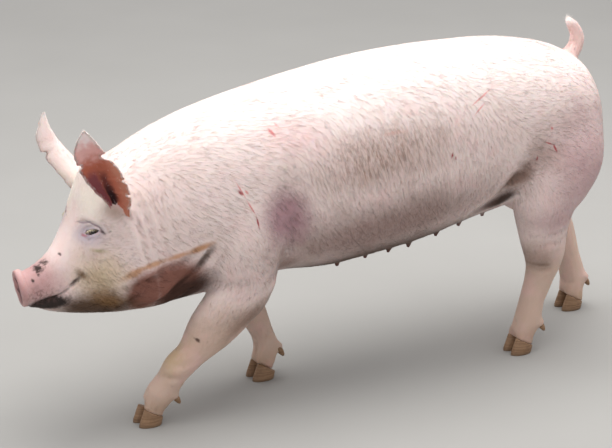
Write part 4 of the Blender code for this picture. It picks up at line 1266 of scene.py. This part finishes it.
class HideFinish:
    """The soft pinkish white hide."""

    def cup(self, f: Finish, share: Value, place: Value) -> bpy.types.NodeSocket:
        """The colour of the lining of an ear, with painted shade in its cup and canal, a painted glow through the
        thin rear lobe and a painted highlight on the front edge.

        Args:
            f: The finish.
            share: How far along the ear, from 0 at the root to 1 at the tip.
            place: How far across, from 0 at the front edge to 1 at the rear.

        Returns:
            The colour.
        """
        lobe = f.noise(0.012, detail=4)
        along = share + (lobe - 0.5) * 0.16
        across = place + (lobe - 0.5) * 0.10
        flesh = f.blend((0.50, 0.145, 0.090), (0.25, 0.070, 0.080), across.ramp(0.50, 0.30) * along.ramp(0.62, 0.45))
        # Painted shade down the valley of the cup
        deep = (1 - (across - (0.50 + share * 0.05)).through("ABSOLUTE") / 0.17).ramp(0.0, 0.9)
        flesh = f.blend(flesh, (0.11, 0.026, 0.028), deep * along.ramp(0.62, 0.40) * 0.85)
        # Painted shade in the canal
        canal = (1 - (across - 0.52).through("ABSOLUTE") / 0.16).ramp(0.0, 0.8) * along.ramp(0.40, 0.22)
        flesh = f.blend(flesh, (0.022, 0.007, 0.009), canal * 0.95)
        # Painted glow of light through the thin rear lobe
        flesh = f.blend(flesh, (0.66, 0.29, 0.20), across.ramp(0.66, 0.88) * along.ramp(0.80, 0.60) * 0.8)
        # Painted highlight on the thickness of the front edge
        flesh = f.blend(flesh, (0.54, 0.25, 0.25), across.ramp(0.10, 0.02) * 0.7)
        flesh = f.blend(flesh, (0.78, 0.46, 0.43), along.ramp(0.60, 0.78))
        return f.blend(flesh, (0.95, 0.86, 0.86), along.ramp(0.80, 0.95))

    def make(self) -> bpy.types.Material:
        """The material of the skin."""
        f = Finish(
            "hide",
            Subsurface_Weight=0.18,
            Subsurface_Radius=(1.0, 0.35, 0.2),
            Subsurface_Scale=0.006,
            Specular_IOR_Level=0.14,
        )
        marks = Markings(f)
        colour = marks.paint()
        inside, share, bare, place = f.stored("ear")
        colour = f.blend(colour, self.cup(f, share, place), inside.ramp(0.3, 0.7))
        colour = f.blend(colour, (0.15, 0.055, 0.055), bare * 0.9)
        lift = (marks.streak - 0.5) * 0.5 + (marks.sweep - 0.5) * 0.5
        pores = f.noise(0.0014, detail=3)
        normal = f.relief(lift, 0.0003)
        normal = f.relief(pores, 0.0004, normal)
        wrinkle = f.noise(0.014, Axis.FLANK.value, 3, 4)
        normal = f.relief(wrinkle, 0.00025, normal)
        rough = 0.52 + marks.speck * 0.16
        return f.dress(colour, rough, normal)


class LashFinish:
    """The straw white lashes."""

    def make(self) -> bpy.types.Material:
        """The material of the lashes."""
        f = Finish("lash", Specular_IOR_Level=0.3)
        return f.dress(f.blend((0.86, 0.80, 0.60), (0.62, 0.52, 0.34), f.noise(0.003)), 0.5)


class BristleFinish:
    """The sparse white bristles, marked as the skin under them."""

    def make(self) -> bpy.types.Material:
        """The material of the coat."""
        f = Finish("bristle", Specular_IOR_Level=0.12)
        marks = Markings(f)
        colour = marks.paint()
        tuft = f.noise(0.010, detail=2)
        pale = f.blend((0.93, 0.88, 0.84), (0.84, 0.72, 0.58), tuft.ramp(0.45, 0.70))
        colour = f.blend(colour, pale, (1 - marks.bristle_darkening) * 0.26 + 0.01)
        return f.dress(colour, 0.45)


class HornFinish:
    """Worn pale horn."""

    def make(self) -> bpy.types.Material:
        """The material of hooves and dewclaws."""
        f = Finish("horn", Specular_IOR_Level=0.45)
        height = f.axis("Z")
        rings = f.local((0, 0, 0), 0, (0.08, 0.08, 0.0022))
        bands = f.number("ShaderNodeTexNoise", {}, {"Vector": rings, "Scale": 1.0, "Detail": 3.0})
        grain = f.noise(0.0016, 90, 8, 3)
        blotch = f.noise(0.010, detail=4)
        colour = f.blend((0.21, 0.118, 0.060), (0.33, 0.20, 0.115), bands.ramp(0.35, 0.65))
        colour = f.blend(colour, (0.20, 0.115, 0.065), (blotch.ramp(0.50, 0.72)) * 0.5)
        colour = f.blend(colour, (0.16, 0.10, 0.06), height.ramp(0.018, 0.006) * 0.7)
        normal = f.relief(bands, 0.0012)
        normal = f.relief(grain, 0.0003, normal)
        return f.dress(colour, 0.42 + grain * 0.15, normal)


class EyeFinish:
    """A wet dark brown eye."""

    def make(self) -> bpy.types.Material:
        """The material of the eyeballs, with white at the corners."""
        f = Finish("eye", Specular_IOR_Level=0.6, Coat_Weight=1.0, Coat_Roughness=0.03)
        colour: object = (0.42, 0.34, 0.30)
        for side in Side:
            middle = mirrored(EYE_DRAWN + EYE_OUT * EYE_RADIUS, side)
            for reach, shade in ((IRIS_REACH, (0.055, 0.028, 0.014)), (PUPIL_REACH, (0.004, 0.003, 0.003))):
                colour = f.blend(colour, shade, f.near(middle, (reach,) * 3, core=0.8))
        return f.dress(colour, 0.12)


class FloorFinish:
    """The plain pale studio floor."""

    def make(self) -> bpy.types.Material:
        """The material of the floor."""
        f = Finish("floor", Specular_IOR_Level=0.1)
        dust = f.noise(0.4, detail=2)
        return f.dress(f.blend((0.34, 0.34, 0.33), (0.37, 0.37, 0.36), dust), 0.9)


# Pieces


def dressed(piece: bpy.types.Object, material: bpy.types.Material) -> None:
    """Gives a piece its only material and its place in the record."""
    piece.data.materials.clear()
    piece.data.materials.append(material)
    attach(piece, "root")
    LOG.info("%s: %d faces", piece.name, len(piece.data.polygons))


# How near an ear's drawn faces the skin counts as its lining, and as part of it
LINING_REACH = 0.006
EAR_REACH = 0.012


def mark_ears(skin: bpy.types.Object, inside: np.ndarray, outside: np.ndarray) -> np.ndarray:
    """Stores where the skin lines an ear's cup, how far along, and where it is bare.

    Args:
        skin: The skin.
        inside: Points of the ears' inner faces with their share and place.
        outside: Points of the outer faces.

    Returns:
        The stored numbers, one row for each vertex.
    """
    rows = points_of(skin)
    lining, back = tree_of(inside), tree_of(outside)
    marks = np.zeros((len(rows), 4))
    marks[:, 3] = 0.5
    for index in np.nonzero((rows[:, 2] > 0.50 + SHIFT.z) & (rows[:, 0] < -0.36 + SHIFT.x))[0]:
        _, near, inner = lining.find(rows[index])
        _, _, outer = back.find(rows[index])
        if inner < outer and inner < LINING_REACH:
            marks[index, 0] = 1
        if min(inner, outer) < EAR_REACH:
            marks[index, 1] = max(0.0, inside[near][3])
            marks[index, 3] = inside[near][4] / 2 + 0.5
    marks[:, 2] = Teats().covered(rows - np.array(SHIFT), 0.009, 0.010)
    layer = skin.data.color_attributes.new("ear", "FLOAT_COLOR", "POINT")
    layer.data.foreach_set("color", marks.ravel())
    return marks


@dataclass
class Horn:
    """One hoof or dewclaw, finer than its solid."""

    node: str
    voxel: float
    rounds: int
    ring_step: float = 0.0062
    ring_height: float = 0.00022
    ring_lean: float = 0.18

    def build(self) -> bpy.types.Object:
        """A smooth copy of the solid with growth rings."""
        shape = bmesh.new()
        shape.from_mesh(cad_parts[self.node].data)
        bmesh.ops.remove_doubles(shape, verts=shape.verts, dist=1e-5)
        made = remeshed(from_bmesh(f"fine_{self.node}", shape), self.voxel)
        smoothed(made, self.rounds)
        if "hoof" in self.node:
            rows, normals = points_of(made), normals_of(made)
            rings = np.sin((rows[:, 2] + self.ring_lean * rows[:, 0]) * 2 * math.pi / self.ring_step)
            walls = np.clip(1 - np.abs(normals[:, 2]) * 1.6, 0, 1) * np.clip(rows[:, 2] / 0.006, 0, 1)
            rows += normals * (self.ring_height * rings * walls)[:, None]
            rows[:, 2] = np.maximum(rows[:, 2], 0)
            put_points(made, rows)
        return made


@dataclass
class Eyeball:
    """One eyeball with a clear bulge in front."""

    side: Side

    def build(self) -> bpy.types.Object:
        """The eyeball."""
        made = ball(f"fine_eye_{self.side.name.lower()}", drawn(*EYE_DRAWN, self.side), (EYE_RADIUS - 0.0002,) * 3)
        rows, normals = points_of(made), normals_of(made)
        out = np.array(mirrored(EYE_OUT, self.side))
        rows += normals * (0.0006 * np.exp(-(((1 - normals @ out) / 0.12) ** 2)))[:, None]
        put_points(made, rows)
        for face in made.data.polygons:
            face.use_smooth = True
        return made


@dataclass
class Lashes:
    """The pale lashes over one eye."""

    side: Side
    count: int = 60
    length: float = 0.0070
    width: float = 0.0007
    half_angle: float = 0.92

    def build(self) -> bpy.types.Object:
        """The lashes as one piece."""
        random = np.random.default_rng(self.side.value + 5)
        out = mirrored(EYE_OUT, self.side)
        centre = drawn(*EYE_DRAWN, self.side)
        turn = facing(out, Vector((0, 0, 1))) @ Matrix.Rotation(self.side.value * SLIT_TILT, 4, "X")
        shape = bmesh.new()
        for lash in range(self.count):
            share = 2 * lash / (self.count - 1) - 1
            angle = share * self.half_angle
            rise = SLIT[2] * math.sqrt(max(0.0, 1 - share**2)) * 0.95
            ahead = EYE_RADIUS + 0.0024 - 0.0045 * share**2
            root = Vector((ahead, math.sin(angle) * SLIT[1], rise + 0.0006))
            fall = random.uniform(-0.75, -0.30)
            way = Vector((0.55, math.sin(angle) * 0.7 + random.normal(0, 0.12), fall)).normalized()
            size = {"radius1": self.width / 2, "radius2": 0, "depth": self.length * random.uniform(0.7, 1.1)}
            blade = bmesh.ops.create_cone(shape, cap_ends=True, segments=3, **size)["verts"]
            height = max(vert.co.z for vert in blade)
            bmesh.ops.translate(shape, vec=(0, 0, height), verts=blade)
            place = Matrix.Translation(root) @ Vector((0, 0, 1)).rotation_difference(way).to_matrix().to_4x4()
            bmesh.ops.transform(shape, matrix=Matrix.Translation(centre) @ turn @ place, verts=blade)
        return from_bmesh(f"lashes_{self.side.name.lower()}", shape)


@dataclass(frozen=True)
class Lie:
    """How the bristles lie at one place of the left side."""

    place: tuple[float, float, float]
    way: tuple[float, float, float]
    length: float
    lift: float
    count: float


LIES = tuple(
    Lie(*row)
    for row in (
        ((-0.575, -0.02, 0.385), (0.8, 0.0, 0.5), 0.005, 0.25, 0.35),
        ((-0.530, -0.03, 0.430), (0.6, 0.0, 0.8), 0.007, 0.25, 0.7),
        ((-0.500, -0.03, 0.520), (0.15, 0.0, 1.0), 0.010, 0.25, 1.0),
        ((-0.455, -0.05, 0.600), (0.4, 0.0, 1.0), 0.013, 0.30, 1.0),
        ((-0.540, -0.06, 0.350), (0.9, 0.0, -0.3), 0.007, 0.25, 0.5),
        ((-0.470, -0.09, 0.390), (0.7, 0.0, -0.75), 0.014, 0.25, 1.2),
        ((-0.440, -0.09, 0.310), (1.0, 0.0, -0.5), 0.016, 0.30, 1.2),
        ((-0.520, -0.04, 0.285), (1.0, 0.0, -0.2), 0.012, 0.35, 0.9),
        ((-0.440, -0.09, 0.470), (1.0, 0.0, 0.1), 0.012, 0.25, 1.0),
        ((-0.370, -0.10, 0.520), (0.35, 0.0, -1.0), 0.018, 0.20, 1.0),
        ((-0.330, -0.12, 0.430), (0.8, 0.0, -0.6), 0.020, 0.20, 1.0),
        ((-0.330, -0.03, 0.640), (1.0, -0.2, 0.3), 0.020, 0.30, 1.0),
        ((-0.300, -0.08, 0.290), (1.0, 0.0, 0.1), 0.014, 0.25, 0.6),
        ((-0.200, -0.14, 0.520), (0.9, 0.0, -0.45), 0.022, 0.18, 1.0),
        ((-0.120, -0.16, 0.400), (0.6, 0.0, -0.8), 0.020, 0.20, 0.9),
        ((-0.050, -0.06, 0.700), (1.0, -0.4, 0.1), 0.022, 0.25, 0.9),
        ((0.060, -0.15, 0.570), (0.45, 0.0, -1.0), 0.022, 0.18, 1.0),
        ((0.200, -0.16, 0.520), (0.25, 0.0, -1.0), 0.022, 0.18, 1.1),
        ((0.200, -0.06, 0.735), (1.0, -0.5, 0.0), 0.022, 0.25, 0.9),
        ((0.200, -0.14, 0.380), (0.6, 0.0, -0.8), 0.018, 0.20, 0.9),
        ((0.380, -0.16, 0.520), (0.2, 0.0, -1.0), 0.022, 0.18, 1.0),
        ((0.450, -0.15, 0.420), (0.3, 0.0, -1.0), 0.018, 0.20, 0.9),
        ((0.540, -0.06, 0.720), (1.0, -0.3, -0.1), 0.022, 0.25, 0.9),
        ((0.600, -0.15, 0.600), (1.0, 0.0, -0.20), 0.020, 0.18, 1.0),
        ((0.620, -0.17, 0.480), (0.9, 0.0, -0.45), 0.018, 0.18, 0.9),
        ((0.740, -0.10, 0.580), (0.9, 0.0, -0.6), 0.018, 0.22, 0.9),
        ((0.810, -0.03, 0.540), (0.2, 0.0, -1.0), 0.018, 0.25, 0.9),
        ((0.610, -0.14, 0.330), (0.1, 0.0, -1.0), 0.012, 0.18, 0.7),
        ((0.780, -0.12, 0.300), (0.3, 0.0, -1.0), 0.012, 0.18, 0.7),
        ((0.600, -0.11, 0.150), (0.0, 0.0, -1.0), 0.008, 0.18, 0.6),
        ((0.820, -0.11, 0.150), (0.0, 0.0, -1.0), 0.008, 0.18, 0.6),
        ((-0.180, -0.13, 0.270), (-0.4, 0.0, -1.0), 0.014, 0.18, 0.8),
        ((-0.290, -0.09, 0.150), (-0.5, 0.0, -1.0), 0.009, 0.18, 0.6),
        ((-0.050, -0.12, 0.220), (0.1, 0.0, -1.0), 0.010, 0.18, 0.7),
        ((0.200, -0.05, 0.295), (1.0, 0.0, 0.0), 0.012, 0.35, 0.4),
        ((0.748, -0.01, 0.690), (0.2, 0.0, 1.0), 0.014, 0.35, 0.9),
        ((0.728, -0.01, 0.745), (-0.5, 0.0, 1.0), 0.020, 0.40, 1.5),
    )
)


class Unwrap:
    """Lays the skin out flat in tubes: the trunk, the head with its ears, and each leg."""

    @staticmethod
    def tube(
        rows: np.ndarray, along: int, middle: Sequence[float], reach: tuple[float, float], tile: Sequence[float]
    ) -> np.ndarray:
        """Places of rows round an axis, in one tile.

        Args:
            rows: The points.
            along: The coordinate that runs along the tube.
            middle: The tube's middle in the other two coordinates.
            reach: The tube's ends along its axis.
            tile: The tile's left, bottom, width and height.

        Returns:
            Two numbers for each row.
        """
        other = [axis for axis in (0, 1, 2) if axis != along]
        angle = np.arctan2(rows[:, other[1]] - middle[1], rows[:, other[0]] - middle[0]) / (2 * math.pi) + 0.5
        share = np.clip((rows[:, along] - reach[0]) / (reach[1] - reach[0]), 0, 1)
        return np.stack([tile[0] + share * tile[2], tile[1] + angle * tile[3]], axis=1)

    def place(self, rows: np.ndarray) -> np.ndarray:
        """Where each drawn row falls on the flat layout."""
        flat = self.tube(rows, 0, (0, 0.50), (-0.40, 0.85), (0.01, 0.42, 0.97, 0.56))
        head = rows[:, 0] < -0.36
        flat[head] = self.tube(rows[head], 0, (0, 0.42), (-0.62, -0.36), (0.01, 0.01, 0.38, 0.40))
        for index, (x, y) in enumerate(((-0.20, -0.09), (-0.04, 0.09), (0.60, -0.11), (0.76, 0.11))):
            leg = (rows[:, 2] < 0.33) & (np.abs(rows[:, 0] - x) < 0.20)
            leg &= (rows[:, 1] * y > 0) & (np.abs(rows[:, 1]) > 0.035)
            leg &= (rows[:, 2] < 0.27) | (index > 1)
            tile = (0.41 + 0.145 * index, 0.01, 0.14, 0.40)
            middle = np.interp(rows[leg, 2], (0.05, 0.3), (x - 0.1 if index == 0 else x, x))
            shifted = rows[leg].copy()
            shifted[:, 0] -= middle - x
            flat[leg] = self.tube(shifted, 2, (x, y), (0.0, 0.36), tile)
        return flat


@dataclass
class Coat:
    """Bristles in small tufts over the skin, in pieces of a bearable size."""

    tufts: int = 96_000
    blades: int = 3
    width: float = 0.00022
    sleek: float = 0.30
    seed: int = 7
    fringe: int = 2_600
    root_spread: float = 0.0009
    sunk: float = 0.0003
    patch: float = 0.003
    most_triangles: int = 198_000
    bare_below: float = 0.038
    bare_ahead: float = -0.583
    ear_length: float = 0.008

    def field(self, rows: np.ndarray) -> tuple[np.ndarray, np.ndarray]:
        """The way, and the length, lift and count of bristles at drawn rows of both sides."""
        mirrored = rows.copy()
        mirrored[:, 1] = -np.abs(mirrored[:, 1])
        anchors = np.array([lie.place for lie in LIES])
        ways = unit(np.array([lie.way for lie in LIES]))
        sizes = np.array([(lie.length, lie.lift, lie.count) for lie in LIES])
        nearness = 1 / (((mirrored[:, None, :] - anchors[None]) ** 2).sum(axis=2) + 2e-4) ** 2
        nearness /= nearness.sum(axis=1)[:, None]
        way = nearness @ ways
        way[:, 1] *= -np.sign(rows[:, 1] + SMALL)
        return way, nearness @ sizes

    def roots(self, skin: bpy.types.Object, marks: np.ndarray, random: np.random.Generator) -> tuple[np.ndarray, ...]:
        """Picks where tufts grow.

        Args:
            skin: The skin.
            marks: What mark_ears stored.
            random: The source of chance.

        Returns:
            The roots, their normals, ways, and sizes.
        """
        mesh = skin.data
        mesh.calc_loop_triangles()
        faces = np.empty(len(mesh.loop_triangles) * 3, int)
        mesh.loop_triangles.foreach_get("vertices", faces)
        faces = faces.reshape(-1, 3)
        points, normals = points_of(skin), normals_of(skin)
        corners = points[faces]
        area = np.linalg.norm(np.cross(corners[:, 1] - corners[:, 0], corners[:, 2] - corners[:, 0]), axis=1) / 2
        middle = corners.mean(axis=1) - np.array(SHIFT)
        _, sizes = self.field(middle)
        cup, share, bare = (marks[faces].mean(axis=1)[:, column] for column in (0, 1, 2))
        nose = middle[:, 0] < self.bare_ahead
        eye = np.zeros(len(middle), bool)
        for side in Side:
            eye |= np.linalg.norm(middle - np.array(mirrored(EYE_DRAWN, side)), axis=1) < EYE_CLEAR
        wish = area * sizes[:, 2]
        wish *= np.where(middle[:, 0] < -0.40, 1.8, 1.0)
        wish[(bare > 0.3) | nose | eye | (middle[:, 2] < self.bare_below)] = 0
        wish[cup > 0.5] *= 0.04
        chosen = random.choice(len(faces), self.tufts, p=wish / wish.sum())
        mix = random.dirichlet((1, 1, 1), self.tufts)
        roots = (points[faces[chosen]] * mix[:, :, None]).sum(axis=1)
        facing_out = unit((normals[faces[chosen]] * mix[:, :, None]).sum(axis=1))
        way, sizes = self.field(roots - np.array(SHIFT))
        ear = share[chosen] > 0.02
        way[ear] = np.array((-0.3, 0.0, 1.0))
        sizes[ear, 0] = self.ear_length
        sizes[ear, 1] = 0.35
        return roots, facing_out, way, sizes

    def edges(self, inside: np.ndarray, random: np.random.Generator) -> tuple[np.ndarray, ...]:
        """Picks tufts along the edges of the ears.

        Args:
            inside: The rows of the ears' inner faces with their share and place.
            random: The source of chance.

        Returns:
            The roots, normals, ways and sizes.
        """
        rim = np.nonzero((np.abs(inside[:, 4]) > 0.999) & (inside[:, 3] > 0.04))[0]
        behind = np.where(inside[rim, 4] > 0, rim - 6, rim + 6)
        outward = unit(inside[rim, :3] - inside[behind, :3])
        upward = np.array((-0.25, -0.1, 1.0))
        weights = 0.35 + inside[rim, 3] ** 2 * 1.6
        chosen = random.choice(len(rim), self.fringe, p=weights / weights.sum())
        roots = inside[rim[chosen], :3] + random.normal(0, 0.0012, (self.fringe, 3)) - outward[chosen] * 0.002
        way = outward[chosen] * 0.7 + upward * 0.7
        sizes = np.stack([np.full(self.fringe, 0.0065), np.full(self.fringe, 0.1), np.ones(self.fringe)], axis=1)
        return roots, outward[chosen], way, sizes

    def pressed(self, skin: bpy.types.Object, roots: np.ndarray, flat: np.ndarray, sizes: np.ndarray) -> np.ndarray:
        """Turns the ways of tufts so that their ends lie on the skin.

        Args:
            skin: The skin.
            roots: Where tufts grow.
            flat: Their ways along the skin at the root.
            sizes: Their length, lift and count.

        Returns:
            The turned ways.
        """
        shape = bmesh.new()
        shape.from_mesh(skin.data)
        surface = BVHTree.FromBMesh(shape)
        shape.free()
        ends = roots + flat * sizes[:, :1]
        found = np.array([surface.find_nearest(end)[0] for end in ends])
        return unit(found - roots)

    def blade_points(
        self, roots: np.ndarray, out: np.ndarray, flat: np.ndarray, sizes: np.ndarray, random: np.random.Generator
    ) -> np.ndarray:
        """The four corners of every blade.

        Args:
            roots: Where tufts grow.
            out: The skin's normals there.
            flat: How the bristles lie.
            sizes: Their length, lift and count.
            random: The source of chance.

        Returns:
            The corners, by tuft, blade and corner.
        """
        count = len(roots)
        across = unit(np.cross(out, flat))
        corners = np.empty((count, self.blades, 4, 3))
        sway = random.normal(0, 0.035, count)
        for blade in range(self.blades):
            spread = (sway + random.normal(0, 0.06, count))[:, None]
            lift = (sizes[:, 1] * self.sleek * random.uniform(0.4, 1.5, count))[:, None]
            length = (sizes[:, 0] * random.uniform(0.65, 1.25, count))[:, None]
            along = unit(flat + across * spread + out * lift)
            start = roots + across * random.normal(0, self.root_spread, count)[:, None] - out * self.sunk
            beside = unit(np.cross(along, out))
            above = np.cross(beside, along)
            for spoke, (side, up) in enumerate(((-1, -0.4), (1, -0.4), (0, 0.8))):
                corners[:, blade, spoke] = start + (beside * side + above * up) * self.width / 2
            corners[:, blade, 3] = start + along * length
        return corners

    def piece(self, name: str, corners: np.ndarray, patches: np.ndarray) -> bpy.types.Object:
        """Joins blades into one piece with its bake map.

        Args:
            name: The piece's name.
            corners: The corners, by tuft, blade and corner.
            patches: Where each tuft's patch lies on the layout.

        Returns:
            The piece.
        """
        faces = np.array(((0, 2, 1), (0, 1, 3), (1, 2, 3), (2, 0, 3)))
        count = corners.shape[0] * self.blades
        points = corners.reshape(-1, 3)
        index = (faces[None] + (np.arange(count) * 4)[:, None, None]).reshape(-1)
        mesh = bpy.data.meshes.new(name)
        mesh.vertices.add(len(points))
        mesh.vertices.foreach_set("co", points.ravel())
        mesh.loops.add(len(index))
        mesh.loops.foreach_set("vertex_index", index.astype(np.int32))
        mesh.polygons.add(len(index) // 3)
        mesh.polygons.foreach_set("loop_start", np.arange(0, len(index), 3, dtype=np.int32))
        mesh.update(calc_edges=True)
        local = np.array(((0.05, 0.05), (0.25, 0.05), (0.15, 0.15), (0.15, 0.95)))
        shift = np.array([(0.0, 0.0), (0.33, 0.0), (0.66, 0.0)])[np.arange(count) % self.blades]
        spots = np.repeat(patches, self.blades, axis=0)[:, None, :] + (local[None] + shift[:, None]) * self.patch
        layer = mesh.uv_layers.new(name="OFBake")
        layer.data.foreach_set("uv", spots.reshape(-1, 2)[index].ravel())
        return link(name, mesh)

    def build(self, skin: bpy.types.Object, marks: np.ndarray, inside: np.ndarray) -> list[bpy.types.Object]:
        """Makes the coat's pieces, front to rear.

        Args:
            skin: The skin.
            marks: What mark_ears stored.
            inside: The rows of the ears' inner faces.

        Returns:
            The pieces.
        """
        random = np.random.default_rng(self.seed)
        grown = zip(self.roots(skin, marks, random), self.edges(inside, random))
        roots, out, way, sizes = (np.vstack(pair) for pair in grown)
        flat = unit(way - out * (way * out).sum(axis=1)[:, None] * 0.98)
        flat = self.pressed(skin, roots, flat, sizes)
        corners = self.blade_points(roots, out, flat, sizes, random)
        patches = Unwrap().place(roots - np.array(SHIFT)) * 0.996
        order = np.argsort(roots[:, 0])
        per_piece = self.most_triangles // (4 * self.blades)
        pieces = []
        for number, start in enumerate(range(0, len(order), per_piece)):
            chosen = order[start : start + per_piece]
            pieces.append(self.piece(f"bristles_{number + 1}", corners[chosen], patches[chosen]))
        return pieces


# The studio


@dataclass
class Studio:
    """Floor, lights and camera."""

    azimuth: float = -28.0
    elevation: float = 20.0
    distance: float = 5.3
    focal_pixels: float = 2500.0
    image_width: float = 612.0
    target: tuple[float, float, float] = (0.0, -0.115, 0.42)
    horizon: float = 0.30
    zenith: float = 1.35

    def floor(self) -> None:
        """The wide pale floor."""
        shape = bmesh.new()
        bmesh.ops.create_grid(shape, x_segments=2, y_segments=2, size=20)
        made = from_bmesh("floor", shape)
        made.data.materials.append(FloorFinish().make())

    def lamp(self, name: str, place: Vector, size: float, power: float, colour: Colour) -> None:
        """A square soft light that looks at the animal."""
        light = bpy.data.lights.new(name, "AREA")
        light.size = size
        light.energy = power
        light.color = colour
        made = bpy.data.objects.new(name, light)
        made.location = place
        made.rotation_euler = (Vector((0, 0, 0.35)) - place).to_track_quat("-Z", "Y").to_euler()
        bpy.context.scene.collection.objects.link(made)

    def camera(self) -> None:
        """The camera at the photograph's viewing angle."""
        turn, rise = math.radians(self.azimuth), math.radians(self.elevation)
        away = Vector((math.sin(turn) * math.cos(rise), -math.cos(turn) * math.cos(rise), math.sin(rise)))
        lens = bpy.data.cameras.new("camera")
        lens.sensor_width = 36.0
        lens.lens = self.focal_pixels / self.image_width * lens.sensor_width
        made = bpy.data.objects.new("camera", lens)
        made.location = Vector(self.target) + SHIFT + away * self.distance
        made.rotation_euler = (-away).to_track_quat("-Z", "Y").to_euler()
        bpy.context.scene.collection.objects.link(made)
        bpy.context.scene.camera = made

    def sky(self) -> None:
        """An even soft light from all round."""
        world = bpy.data.worlds.new("studio")
        world.use_nodes = True
        nodes, links = world.node_tree.nodes, world.node_tree.links
        split = nodes.new("ShaderNodeSeparateXYZ")
        links.new(nodes.new("ShaderNodeTexCoord").outputs["Generated"], split.inputs[0])
        rise = nodes.new("ShaderNodeMapRange")
        rise.inputs["To Min"].default_value = self.horizon
        rise.inputs["To Max"].default_value = self.zenith
        links.new(split.outputs["Z"], rise.inputs["Value"])
        back = nodes["Background"]
        back.inputs["Color"].default_value = (1.0, 0.97, 0.965, 1.0)
        links.new(rise.outputs[0], back.inputs["Strength"])
        bpy.context.scene.world = world

    def build(self) -> None:
        """Sets everything up."""
        self.camera()
        self.floor()
        self.sky()
        self.lamp("top", Vector((0.2, 0.1, 3.2)), 2.6, 100, (1.0, 0.98, 0.95))
        self.lamp("fill", Vector((-2.0, -3.2, 2.4)), 2.0, 8, (1.0, 0.97, 0.95))
        bpy.context.scene.view_settings.view_transform = "Standard"


def main() -> None:
    """Builds the sow, piece by piece, and the studio."""
    logging.basicConfig(level=logging.INFO, format="%(name)s: %(message)s")
    Studio().build()
    hide = Hide()
    skin, inside, outside = hide.build()
    marks = mark_ears(skin, inside, outside)
    dressed(skin, HideFinish().make())
    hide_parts(*hide.flesh())
    eye_finish, horn_finish = EyeFinish().make(), HornFinish().make()
    lash_finish, bristle_finish = LashFinish().make(), BristleFinish().make()
    for side in Side:
        eyeball = Eyeball(side).build()
        dressed(eyeball, eye_finish)
        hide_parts(f"eye_{side.name.lower()}")
        dressed(Lashes(side).build(), lash_finish)
    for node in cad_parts:
        if "hoof" in node or "dewclaw" in node:
            claw = Horn(node, 0.0011, 8).build()
            dressed(claw, horn_finish)
            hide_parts(node)
    for piece in Coat().build(skin, marks, inside):
        dressed(piece, bristle_finish)


if __name__ == "__main__":
    main()
